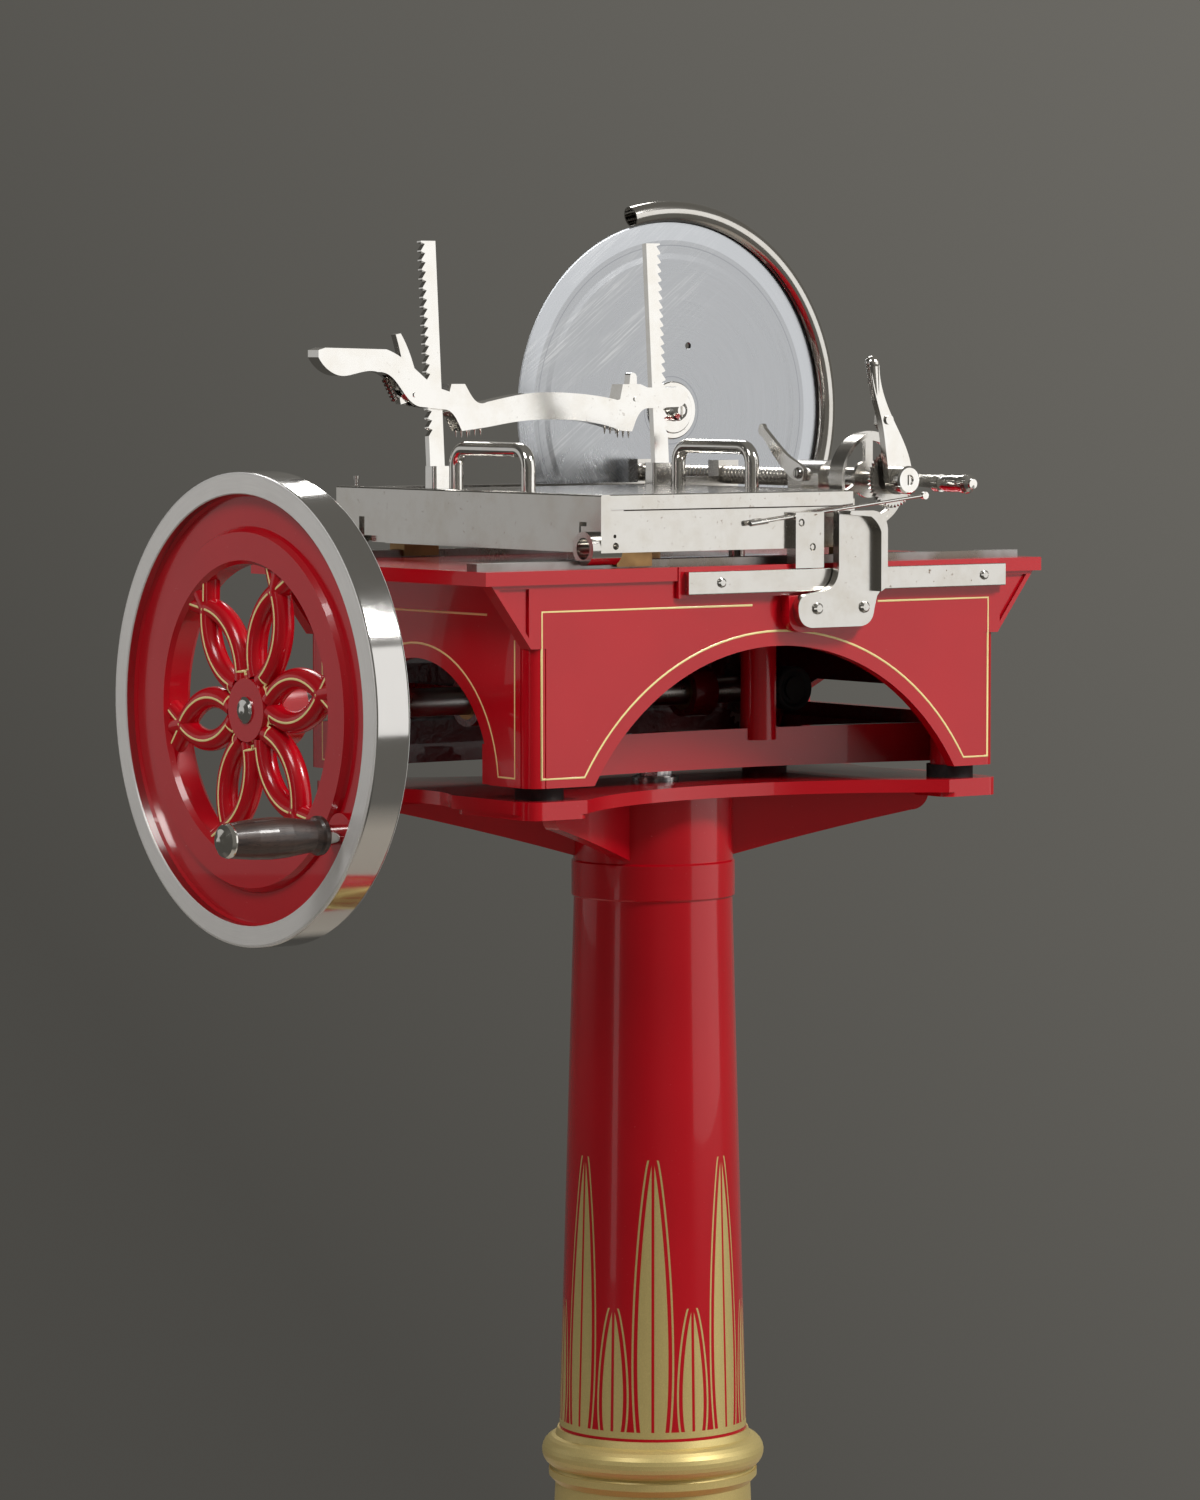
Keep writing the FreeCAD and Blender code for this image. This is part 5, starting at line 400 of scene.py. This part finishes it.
def blade_steel(metal):
    """The blade: arc brushing on the disc, a paler ground edge, turned lines, and wipe marks painted paler
    towards the upper left as a painted highlight.
    """
    finish = Finish("blade_steel", {"Metallic": 1.0})
    x, y, z = finish.axes()
    across = x - BLADE_CENTRE.x
    up = z - BLADE_CENTRE.z
    radius = (across * across + up * up).call("SQRT")
    angle = across.call("ARCTAN2", up)
    bevel = radius.above(BEVEL_R, 0.0006)
    edge = radius.above(EDGE_R, 0.0004)
    outer, inner = [radius.above(low, 0.0004) * radius.below(high, 0.0004) for low, high in TURNED_LINES]
    line = outer + inner
    sweep = finish.noise(1.0, 5.0, at=finish.point(radius * 620.0, angle * 1.6, 0.0), rough=0.7)
    haze = finish.noise(14.0, 4.0)
    slant = across * 0.80 + up * 0.60
    lie = up * 0.80 - across * 0.60
    strokes = finish.noise(1.0, 4.0, at=finish.point(slant * 18.0, lie * 520.0, 7.0), rough=0.65)
    wear_and_sheen = finish.noise(1.0, 3.0, at=finish.point(slant * 9.0, lie * 26.0, 2.0)).above(0.52, 0.16)
    # keeps the wipe marks to the upper left, where their paler colour is a painted highlight
    wear_and_sheen = wear_and_sheen * (up * 0.6 - across * 0.8).above(0.045, 0.07)
    colour = finish.mix(sweep * 0.45, opaque(metal.blade), opaque([c * 0.72 for c in metal.blade]))
    colour = finish.mix(strokes.above(0.55, 0.14) * wear_and_sheen * 0.35, colour, (0.80, 0.81, 0.82, 1.0))
    colour = finish.mix(bevel * 0.35, colour, (0.66, 0.69, 0.74, 1.0))
    colour = finish.mix(line * 0.6, colour, (0.22, 0.23, 0.26, 1.0))
    finish.put("Base Color", colour)
    finish.put("Roughness", 0.19 + sweep * 0.08 + haze * 0.08 - bevel * 0.05 + wear_and_sheen * 0.05 + edge * 0.3)
    finish.bump([(sweep, 0.16, 0.0004), (strokes * wear_and_sheen, 0.14, 0.0003)])
    return finish


def machine_steel(metal):
    """Turned and cut steel of shafts and gears, with an oil film; its colour is halved, partly as painted
    shade for the parts inside the dark box.
    """
    finish = Finish("machine_steel", {"Metallic": 1.0})
    x, y, z = finish.axes()
    tool = finish.noise(1.0, 2.0, at=finish.point(x * 900.0, y * 900.0, z * 200.0))
    oil = finish.noise(18.0, 4.0)
    # steel at about half its colour, darkened in part as painted shade for the gears inside the box
    dull = [c * 0.52 for c in metal.steel]
    finish.put("Base Color", finish.mix(oil.above(0.50, 0.2) * 0.7, opaque(dull), (0.12, 0.09, 0.06, 1.0)))
    finish.put("Roughness", 0.26 + tool * 0.16 - oil.above(0.55, 0.2) * 0.10)
    finish.bump([(tool, 0.10, 0.0003)])
    return finish


def cross_shaft_finish(metal):
    """The cross shaft's steel with its black end cap."""
    finish = Finish("cross_shaft_steel", {})
    x, y, z = finish.axes()
    cap = y.below(-0.0135, 0.0004)
    tool = finish.noise(1.0, 2.0, at=finish.point(x * 900.0, y * 120.0, z * 900.0))
    grain = finish.noise(420.0, 3.0)
    finish.put("Base Color", finish.mix(cap, opaque([c * 0.62 for c in metal.steel]),
                                        (0.012, 0.012, 0.013, 1.0)))
    finish.put("Metallic", 1.0 - cap)
    finish.put("Roughness", 0.28 + tool * 0.14 + cap * (0.16 + grain * 0.2))
    finish.bump([(grain * cap + tool * (1.0 - cap), 0.14, 0.0004)])
    return finish


def bolt_steel(metal):
    """Black-oxide steel that is worn bright on its high spots."""
    finish = Finish("bolt_steel", {"Metallic": 1.0})
    wear = finish.noise(160.0, 4.0).above(0.52, 0.2)
    finish.put("Base Color", finish.mix(wear * 0.8, (0.22, 0.22, 0.23, 1.0), opaque(metal.steel)))
    finish.put("Roughness", 0.36 - wear * 0.14)
    finish.bump([(finish.noise(500.0, 3.0), 0.12, 0.0004)])
    return finish


def bronze():
    """Cast and bored bronze."""
    finish = Finish("bush_bronze", {"Metallic": 1.0})
    cloud = finish.noise(60.0, 4.0)
    finish.put("Base Color", finish.mix(cloud, (0.42, 0.26, 0.11, 1.0), (0.20, 0.12, 0.06, 1.0)))
    finish.put("Roughness", 0.26 + cloud * 0.22)
    finish.bump([(finish.noise(700.0, 2.0), 0.10, 0.0003)])
    return finish


def rubber():
    """Black moulded rubber with dust in its pores."""
    finish = Finish("black_rubber", {"Specular IOR Level": 0.35})
    dust = finish.noise(90.0, 4.0)
    finish.put("Base Color", finish.mix(dust.above(0.62, 0.2) * 0.5, (0.013, 0.013, 0.014, 1.0),
                                        (0.06, 0.055, 0.05, 1.0)))
    finish.put("Roughness", 0.55 + dust * 0.3)
    finish.bump([(finish.noise(900.0, 2.0), 0.25, 0.0004)])
    return finish


def grip_wood():
    """Oiled dark wood with grain along the handle and open pores."""
    finish = Finish("dark_wood", {"Coat Weight": 0.35, "Coat Roughness": 0.12})
    x, y, z = finish.axes()
    up = z - GRIP_Z
    grain = finish.noise(1.0, 5.0, at=finish.point(x * 16.0, y * 420.0, up * 420.0), rough=0.6)
    rings = (finish.noise(1.0, 2.0, at=finish.point(x * 7.0, y * 60.0, up * 60.0)) * 26.0).call("SINE")
    pores = finish.noise(1.0, 1.0, at=finish.point(x * 130.0, y * 1900.0, up * 1900.0)).above(0.66, 0.06)
    colour = finish.mix(rings * 0.5 + 0.5, (0.019, 0.011, 0.010, 1.0), (0.046, 0.026, 0.020, 1.0))
    colour = finish.mix(grain.above(0.56, 0.2) * 0.6, colour, (0.075, 0.043, 0.032, 1.0))
    colour = finish.mix(pores * 0.8, colour, (0.006, 0.004, 0.004, 1.0))
    finish.put("Base Color", colour)
    finish.put("Roughness", 0.34 + grain * 0.18 + pores * 0.2)
    finish.bump([(grain - pores * 0.7, 0.22, 0.0005)])
    return finish


# ---------------------------------------------------------------- painted lines
def lining_tree(material):
    """Geometry Nodes that lay a thin bead of paint along each path."""
    tree = bpy.data.node_groups.new("lining", "GeometryNodeTree")
    face = tree.interface
    face.new_socket("Geometry", in_out="INPUT", socket_type="NodeSocketGeometry")
    radius = face.new_socket("Bead radius", in_out="INPUT", socket_type="NodeSocketFloat")
    face.new_socket("Geometry", in_out="OUTPUT", socket_type="NodeSocketGeometry")
    nodes = tree.nodes
    start = nodes.new("NodeGroupInput")
    end = nodes.new("NodeGroupOutput")
    ring = nodes.new("GeometryNodeCurvePrimitiveCircle")
    ring.inputs["Resolution"].default_value = 10
    sweep = nodes.new("GeometryNodeCurveToMesh")
    sweep.inputs["Fill Caps"].default_value = True
    smooth = nodes.new("GeometryNodeSetShadeSmooth")
    real = nodes.new("GeometryNodeRealizeInstances")
    coat = nodes.new("GeometryNodeSetMaterial")
    coat.inputs["Material"].default_value = material
    tree.links.new(start.outputs["Bead radius"], ring.inputs["Radius"])
    tree.links.new(start.outputs["Geometry"], sweep.inputs["Curve"])
    tree.links.new(ring.outputs["Curve"], sweep.inputs["Profile Curve"])
    tree.links.new(sweep.outputs["Mesh"], smooth.inputs["Geometry"])
    tree.links.new(smooth.outputs["Geometry"], real.inputs["Geometry"])
    tree.links.new(real.outputs["Geometry"], coat.inputs["Geometry"])
    tree.links.new(coat.outputs["Geometry"], end.inputs["Geometry"])
    return tree, radius.identifier


def lay_lines(name, body, paths, width, material):
    """Turns paths, each (points, closed, thickness), into one mesh of painted lines on a body."""
    data = bpy.data.curves.new(name + "_paths", "CURVE")
    data.dimensions = "3D"
    for points, closed, thickness in paths:
        spline = data.splines.new("POLY")
        spline.points.add(len(points) - 1)
        for spot, point in zip(spline.points, points):
            spot.co = (*point, 1.0)
            spot.radius = thickness
        spline.use_cyclic_u = closed
    path = bpy.data.objects.new(name + "_paths", data)
    bpy.context.scene.collection.objects.link(path)
    tree, identifier = lining_tree(material)
    bead = width / 2.0 / math.sqrt(1.0 - SINK ** 2)
    modifier = path.modifiers.new("lining", "NODES")
    modifier.node_group = tree
    modifier[identifier] = bead
    graph = bpy.context.evaluated_depsgraph_get()
    graph.update()
    mesh = bpy.data.meshes.new_from_object(path.evaluated_get(graph))
    if not mesh.polygons:
        raise RuntimeError(name + " came out empty")
    mesh.name = name
    piece = bpy.data.objects.new(name, mesh)
    bpy.context.scene.collection.objects.link(piece)
    bpy.data.objects.remove(path)
    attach(piece, body)
    return piece


def arc(centre, radius, start, end, steps=40):
    """Points of an arc in a plane, angles in degrees."""
    turns = [math.radians(start + (end - start) * k / steps) for k in range(steps + 1)]
    return [(centre[0] + radius * math.cos(t), centre[1] + radius * math.sin(t)) for t in turns]


def sink(width):
    """Depth of a bead's middle under the surface it is painted on."""
    return width / 2.0 / math.sqrt(1.0 - SINK ** 2) * SINK


def base_paths(lines):
    """Lining of the base's front and end walls; the front's top line stops beside the bracket."""
    depth = sink(lines.width)
    inset = lines.inset
    low, high, crown = LINE_LOW, LINE_HIGH, LINE_CROWN
    left, right = -0.232, 0.240
    front = arch_line(FRONT_ARCH[0], FRONT_ARCH[1] + inset, low)
    front = [(-0.016, high), (left, high), (left, low)] + front + [(right, low), (right, high),
                                                                 (0.118, high)]
    paths = [([(x, BASE_FRONT_Y + depth, z) for x, z in front], False, 1.0)]
    near, far = -0.135, 0.145
    end = [(near, 0.977), (near, low)] + arch_line(LEFT_ARCH[0], LEFT_ARCH[1] + inset, low)
    end += [(far, low), (far, 0.977)]
    for points in (end, [(-0.0966, crown), (0.107, crown)]):
        paths.append(([(BASE_LEFT_X + depth, y, z) for y, z in points], False, 1.0))
    panel = [(near, low), (near, crown), (far, crown), (far, low)]
    paths.append(([(BASE_RIGHT_X - depth, y, z) for y, z in panel], True, 1.0))
    return paths


def arch_line(centre, radius, low):
    """An arch from its left foot to its right one, at the height where the bottom lines run."""
    half = math.sqrt(radius ** 2 - (low - centre[1]) ** 2)
    side = math.degrees(math.atan2(low - centre[1], half))
    return arc(centre, radius, 180.0 - side, side)


def petal_arc(side):
    """One side of a petal, root to tip, as (distance from the hub's axis, sideways)."""
    root = Vector((PETAL_ROOT, side * 0.004))
    middle = Vector(((PETAL_ROOT + PETAL_TIP) / 2.0, side * PETAL_HALF))
    tip = Vector((PETAL_TIP, side * 0.0005))
    a, b = middle - root, tip - root
    cross = 2.0 * (a.x * b.y - a.y * b.x)
    centre = root + Vector((b.y * a.length_squared - a.y * b.length_squared,
                            a.x * b.length_squared - b.x * a.length_squared)) / cross
    radius = (root - centre).length
    start = math.atan2(root.y - centre.y, root.x - centre.x)
    end = math.atan2(tip.y - centre.y, tip.x - centre.x)
    turn = (end - start + math.pi) % (2.0 * math.pi) - math.pi
    line = [(centre.x + radius * math.cos(start + turn * k / 24.0),
             centre.y + radius * math.sin(start + turn * k / 24.0)) for k in range(25)]
    return [(far, aside) for far, aside in line if PETAL_LINE_FROM < far < PETAL_TIP - 0.0008]


def wheel_paths(lines):
    """Lining of the flywheel: round each gap between two petals, over the hub's edge, and the legs."""
    depth = sink(lines.width)
    crest = WHEEL_PLANE - PETAL_TUBE + depth
    paths = []
    for k in range(PETALS):
        loops = []
        for petal, side in ((k, 1.0), (k + 1, -1.0)):
            turn = math.radians(180.0 - PETAL_PHASE + petal * 360.0 / PETALS)
            out = Vector((math.cos(turn), math.sin(turn)))
            over = Vector((-out.y, out.x))
            line = [out * far + over * aside for far, aside in petal_arc(side)]
            along = (line[1] - line[0]).normalized()
            gap_side = Vector((-along.y, along.x)) * side
            flank = []
            for degrees in (50.0, 33.0, 16.0):
                tilt = math.radians(degrees)
                flank.append((WHEEL_PLANE - PETAL_TUBE * math.cos(tilt) + depth,
                              line[0] + gap_side * PETAL_TUBE * math.sin(tilt)))
            loops.append(flank + [(crest, spot) for spot in line])
            leg = [out * (PETAL_TIP + LEG_REACH * share) + over * side * LEG_SPREAD * share
                   for share in (0.0, 0.3, 0.6, 0.85)]
            paths.append(([(WHEEL_PLANE - 0.85 * PETAL_TUBE + depth, spot.x, WHEEL_Z + spot.y)
                           for spot in leg], False, 1.0))
        start, end = loops[0][0][1], loops[1][0][1]
        rim = [(HUB_LINE_X + depth, start.lerp(end, share).normalized() * HUB_LINE_R)
               for share in (0.05, 0.3, 0.5, 0.7, 0.95)]
        whole = loops[0][::-1] + rim + loops[1]
        paths.append(([(x, spot.x, WHEEL_Z + spot.y) for x, spot in whole], False, 1.0))
        turn = math.radians(180.0 - PETAL_PHASE + k * 360.0 / PETALS)
        far = PETAL_TIP - 0.0004
        dot = [(crest - 0.0002, far * math.cos(turn) + push, WHEEL_Z + far * math.sin(turn))
               for push in (-0.0004, 0.0004)]
        paths.append((dot, False, 1.7))
    return paths


# ---------------------------------------------------------------- settings
class SlicerPaint(bpy.types.PropertyGroup):
    """Colours of the paints."""

    red: FloatVectorProperty(name="Red enamel", description="Colour of the castings", subtype="COLOR",
                             size=3, min=0.0, max=1.0, default=(0.50, 0.002, 0.010))
    gold: FloatVectorProperty(name="Gold", description="Colour of the gilt parts", subtype="COLOR",
                              size=3, min=0.0, max=1.0, default=(0.68, 0.55, 0.22))
    lines: FloatVectorProperty(name="Lining", description="Colour of the thin lines", subtype="COLOR",
                               size=3, min=0.0, max=1.0, default=(0.95, 0.79, 0.35))


class SlicerMetal(bpy.types.PropertyGroup):
    """Colours of the bare and plated metals."""

    nickel: FloatVectorProperty(name="Nickel", description="Colour of aged plate", subtype="COLOR",
                                size=3, min=0.0, max=1.0, default=(0.62, 0.605, 0.58))
    fresh: FloatVectorProperty(name="Bright nickel", description="Colour of plate that kept its shine",
                               subtype="COLOR", size=3, min=0.0, max=1.0,
                               default=(0.84, 0.83, 0.81))
    steel: FloatVectorProperty(name="Steel", description="Colour of polished steel", subtype="COLOR",
                               size=3, min=0.0, max=1.0, default=(0.64, 0.63, 0.62))
    blade: FloatVectorProperty(name="Blade", description="Colour of the blade", subtype="COLOR",
                               size=3, min=0.0, max=1.0, default=(0.42, 0.435, 0.46))


class SlicerLines(bpy.types.PropertyGroup):
    """Sizes of the thin painted lines."""

    width: FloatProperty(name="Width", description="Width of a line", default=0.0018, min=0.0005,
                         max=0.01, unit="LENGTH")
    inset: FloatProperty(name="Inset", description="Distance of a line from an arch's edge",
                         default=0.0125, min=0.002, max=0.05, unit="LENGTH")


class SlicerOrnament(bpy.types.PropertyGroup):
    """Gold leaves at the column's foot."""

    leaves: IntProperty(name="Leaves", description="Tall leaves round the column", default=7, min=3,
                        max=16)
    height: FloatProperty(name="Height", description="Height of a tall leaf", default=0.235, min=0.05,
                          max=0.4, unit="LENGTH")
    turn: FloatProperty(name="Turn", description="Where the first leaf stands, in leaves", default=0.28,
                        min=0.0, max=1.0, subtype="FACTOR")


class SlicerStage(bpy.types.PropertyGroup):
    """Floor, backdrop and lamps."""

    floor: FloatVectorProperty(name="Floor", description="Colour of the floor", subtype="COLOR", size=3,
                               min=0.0, max=1.0, default=(0.42, 0.39, 0.34))
    backdrop: FloatVectorProperty(name="Backdrop", description="Colour behind the slicer",
                                  subtype="COLOR", size=3, min=0.0, max=1.0,
                                  default=(0.098, 0.094, 0.084))
    key: FloatProperty(name="Key lamp", description="Power of the key lamp", default=92.0, min=0.0,
                       unit="POWER")
    fill: FloatProperty(name="Fill lamp", description="Power of the lamp on the flywheel's side",
                        default=38.0, min=0.0, unit="POWER")
    panels: FloatProperty(name="Panels", description="Radiance of the big soft panels", default=1.0,
                          min=0.0, max=4.0)
    ambient: FloatProperty(name="Ambient", description="Strength of the even light", default=0.20,
                           min=0.0, max=2.0, subtype="FACTOR")


# ---------------------------------------------------------------- operators
class SLICER_OT_castings(bpy.types.Operator):
    """Enamels the castings, column and foot, and gilds the ring"""

    bl_idname = "slicer.castings"
    bl_label = "Enamel the castings"

    def execute(self, context):
        paint = context.scene.slicer_paint
        shade(["base_casting"], casting_enamel(paint))
        shade(["pedestal_head", "flywheel", "chain_cover", "knife_bracket"], plain_enamel(paint))
        shade(["pedestal_column"], column_enamel(paint, context.scene.slicer_ornament))
        shade(["pedestal_foot"], foot_enamel(paint))
        shade(["pedestal_ring"], gilt(paint))
        return {"FINISHED"}


class SLICER_OT_plating(bpy.types.Operator):
    """Plates the carriage, table, clamp, feed and guard"""

    bl_idname = "slicer.plating"
    bl_label = "Plate the bright parts"

    def execute(self, context):
        metal = context.scene.slicer_metal
        bright = nickel("bright_nickel", metal.fresh, 0.07, 0.35)
        aged = nickel("aged_nickel", metal.nickel, 0.09, 0.5)
        wear_and_sheen = nickel("worn_nickel", metal.nickel, 0.16, 0.8)
        shade(["clamp_arm", "clamp_pawl", "clamp_pins", "rack_posts", "post_sockets", "grab_handles",
               "blade_nut", "blade_hub_ring", "hub_nut", "grip_cap", "crank_spindle", "feed_crank",
               "feed_knob", "index_lever", "release_lever", "lever_cap", "actuating_rod"], bright)
        shade(["carriage_frame", "feed_table", "blade_guard", "carriage_screws"], aged)
        shade(["front_rail", "striker_bracket", "slotted_screws", "guide_block", "feed_nut",
               "feed_screw", "screw_housing", "thickness_ring", "ratchet_wheel", "feed_pawl"], wear_and_sheen)
        return {"FINISHED"}


class SLICER_OT_steel(bpy.types.Operator):
    """Finishes the rim, blade, shafts, gears, chain and bolts"""

    bl_idname = "slicer.steel"
    bl_label = "Finish the steel"

    def execute(self, context):
        metal = context.scene.slicer_metal
        shade(["flywheel_rim"], tyre_steel(metal))
        shade(["blade"], blade_steel(metal))
        shade(["cross_shaft"], cross_shaft_finish(metal))
        shade(["flywheel_shaft", "blade_shaft", "crank_disc", "crank_gear", "crank_drive_gear",
               "knife_drive_gear", "knife_pinion", "connecting_rod", "lower_sprocket",
               "upper_sprocket", "drive_chain", "pawl_spring", "slide_rails"], machine_steel(metal))
        shade(["hex_bolts"], bolt_steel(metal))
        shade(["bronze_bushes", "slide_shoes"], bronze())
        return {"FINISHED"}


class SLICER_OT_grip(bpy.types.Operator):
    """Finishes the wooden grip and the rubber pads"""

    bl_idname = "slicer.grip"
    bl_label = "Finish grip and pads"

    def execute(self, context):
        shade(["grip"], grip_wood())
        shade(["rubber_pads"], rubber())
        return {"FINISHED"}


class SLICER_OT_lining(bpy.types.Operator):
    """Paints the thin lines on the base and the flywheel"""

    bl_idname = "slicer.lining"
    bl_label = "Paint the lining"

    def execute(self, context):
        lines = context.scene.slicer_lines
        coat = line_paint(context.scene.slicer_paint).material
        lay_lines("base_lining", "frame", base_paths(lines), lines.width, coat)
        lay_lines("wheel_lining", "flywheel_body", wheel_paths(lines), lines.width, coat)
        return {"FINISHED"}


def area_lamp(name, azimuth, rise, far, size, power, aim=0.98):
    """A soft lamp at a bearing, elevation and distance from the slicer's middle, turned to it."""
    turn, lift = math.radians(azimuth), math.radians(rise)
    target = Vector((0.0, 0.0, aim))
    place = target + far * Vector((math.cos(turn) * math.cos(lift), math.sin(turn) * math.cos(lift),
                                   math.sin(lift)))
    data = bpy.data.lights.new(name, "AREA")
    data.shape = "RECTANGLE"
    data.size, data.size_y = size
    data.energy = power
    data.color = (1.0, 0.99, 0.97)
    lamp = bpy.data.objects.new(name, data)
    lamp.location = place
    lamp.rotation_euler = (target - place).to_track_quat("-Z", "Y").to_euler()
    bpy.context.scene.collection.objects.link(lamp)
    return lamp


def panel(name, azimuth, rise, far, size, radiance):
    """A big soft panel, set by the brightness that it shows in bright metal."""
    return area_lamp(name, azimuth, rise, far, size, radiance * math.pi * size[0] * size[1])


def background_rays(tree):
    """1 for rays that show the background: those of the camera and those off or through a surface."""
    path = tree.nodes.new("ShaderNodeLightPath")
    seen = [Wire(tree, path.outputs[name])
            for name in ("Is Camera Ray", "Is Glossy Ray", "Is Transmission Ray")]
    return (seen[0] + seen[1] + seen[2]).call("MINIMUM", 1.0)


def floor_finish(stage):
    """Pale floor that melts into the backdrop round the slicer."""
    finish = Finish("studio_floor", {"Roughness": 0.9, "Specular IOR Level": 0.2})
    x, y, z = finish.axes()
    far = (x * x + y * y).call("SQRT").above(*FLOOR_MELT)
    cloud = finish.noise(3.0, 3.0)
    finish.put("Base Color", finish.mix(cloud * 0.1, opaque(stage.floor),
                                        opaque([c * 0.8 for c in stage.floor])))
    clear = finish.tree.nodes.new("ShaderNodeBsdfTransparent")
    blend = finish.tree.nodes.new("ShaderNodeMixShader")
    out = finish.tree.nodes["Material Output"]
    feed(finish.tree, background_rays(finish.tree) * far, blend.inputs[0])
    finish.tree.links.new(finish.shader.outputs[0], blend.inputs[1])
    finish.tree.links.new(clear.outputs[0], blend.inputs[2])
    finish.tree.links.new(blend.outputs[0], out.inputs["Surface"])
    return finish


def light_world(stage):
    """Even grey light, with the backdrop's colour where it is seen, paler to the upper right."""
    world = bpy.data.worlds.new("studio")
    bpy.context.scene.world = world
    world.use_nodes = True
    tree = world.node_tree
    coord = tree.nodes.new("ShaderNodeTexCoord")
    split = tree.nodes.new("ShaderNodeSeparateXYZ")
    tree.links.new(coord.outputs["Generated"], split.inputs[0])
    x, y, z = [Wire(tree, out) for out in split.outputs]
    slope = 1.0 + (x * 0.80 - y * 0.595) * 2.6 + (z + 0.07) * 2.0
    slope = slope.call("MAXIMUM", 0.70).call("MINIMUM", 1.6)
    even = tree.nodes["Background"]
    even.inputs["Color"].default_value = (1.0, 1.0, 1.0, 1.0)
    even.inputs["Strength"].default_value = stage.ambient
    drop = tree.nodes.new("ShaderNodeBackground")
    drop.inputs["Color"].default_value = opaque(stage.backdrop)
    tree.links.new(slope.socket, drop.inputs["Strength"])
    blend = tree.nodes.new("ShaderNodeMixShader")
    tree.links.new(background_rays(tree).socket, blend.inputs[0])
    tree.links.new(even.outputs[0], blend.inputs[1])
    tree.links.new(drop.outputs[0], blend.inputs[2])
    tree.links.new(blend.outputs[0], tree.nodes["World Output"].inputs["Surface"])


class SLICER_OT_stage(bpy.types.Operator):
    """Lays the floor, hangs the lamps and sets the camera"""

    bl_idname = "slicer.stage"
    bl_label = "Set the stage"

    def execute(self, context):
        stage = context.scene.slicer_stage
        mesh = bpy.data.meshes.new("floor")
        ring = [(FLOOR_R * math.cos(k * math.pi / 32), FLOOR_R * math.sin(k * math.pi / 32), -0.0005)
                for k in range(64)]
        mesh.from_pydata(ring, [], [list(range(64))])
        mesh.materials.append(floor_finish(stage).material)
        floor = bpy.data.objects.new("floor", mesh)
        context.scene.collection.objects.link(floor)
        light_world(stage)
        area_lamp("key_lamp", 297.0, 38.0, 3.6, (0.8, 0.8), stage.key)
        area_lamp("fill_lamp", 200.0, 42.0, 3.4, (1.0, 1.0), stage.fill)
        area_lamp("back_lamp", 62.0, 44.0, 3.6, (1.2, 1.2), stage.fill * 0.95)
        panel("front_panel", 313.0, 8.0, 4.5, (4.2, 3.0), stage.panels)
        panel("rear_panel", 127.0, 6.0, 4.2, (2.6, 2.0), stage.panels * 0.4)
        panel("side_strip", 181.0, 4.0, 3.6, (0.5, 2.4), stage.panels * 0.9)
        data = bpy.data.cameras.new("camera")
        data.sensor_width = SENSOR
        data.lens = CAMERA_LENS
        data.clip_start, data.clip_end = 0.1, 100.0
        camera = bpy.data.objects.new("camera", data)
        camera.location = CAMERA_AT
        camera.rotation_euler = Euler((math.radians(90.0 - CAMERA_DIP), 0.0, math.radians(CAMERA_TURN)))
        context.scene.collection.objects.link(camera)
        context.scene.camera = camera
        context.scene.view_settings.view_transform = "Standard"
        return {"FINISHED"}


class SLICER_PT_panel(bpy.types.Panel):
    """Lists the slicer's settings and steps"""

    bl_idname = "SLICER_PT_panel"
    bl_label = "Meat slicer"
    bl_space_type = "VIEW_3D"
    bl_region_type = "UI"
    bl_category = "Slicer"

    def draw(self, context):
        scene = context.scene
        for group in (scene.slicer_paint, scene.slicer_metal, scene.slicer_lines,
                      scene.slicer_ornament, scene.slicer_stage):
            box = self.layout.box()
            for name in group.__annotations__:
                box.prop(group, name)
        for step in STEPS:
            self.layout.operator(step.bl_idname)


STEPS = (SLICER_OT_castings, SLICER_OT_plating, SLICER_OT_steel, SLICER_OT_grip, SLICER_OT_lining,
         SLICER_OT_stage)
GROUPS = {"slicer_paint": SlicerPaint, "slicer_metal": SlicerMetal, "slicer_lines": SlicerLines,
          "slicer_ornament": SlicerOrnament, "slicer_stage": SlicerStage}


def register():
    """Registers the settings, the steps and the panel."""
    for name, group in GROUPS.items():
        bpy.utils.register_class(group)
        setattr(bpy.types.Scene, name, PointerProperty(type=group))
    for step in STEPS:
        bpy.utils.register_class(step)
    bpy.utils.register_class(SLICER_PT_panel)


def unregister():
    """Removes what register added."""
    bpy.utils.unregister_class(SLICER_PT_panel)
    for step in reversed(STEPS):
        bpy.utils.unregister_class(step)
    for name, group in GROUPS.items():
        delattr(bpy.types.Scene, name)
        bpy.utils.unregister_class(group)


def main():
    """Runs the steps in order."""
    register()
    for step in STEPS:
        group, name = step.bl_idname.split(".")
        getattr(getattr(bpy.ops, group), name)()


if __name__ == "__main__":
    main()
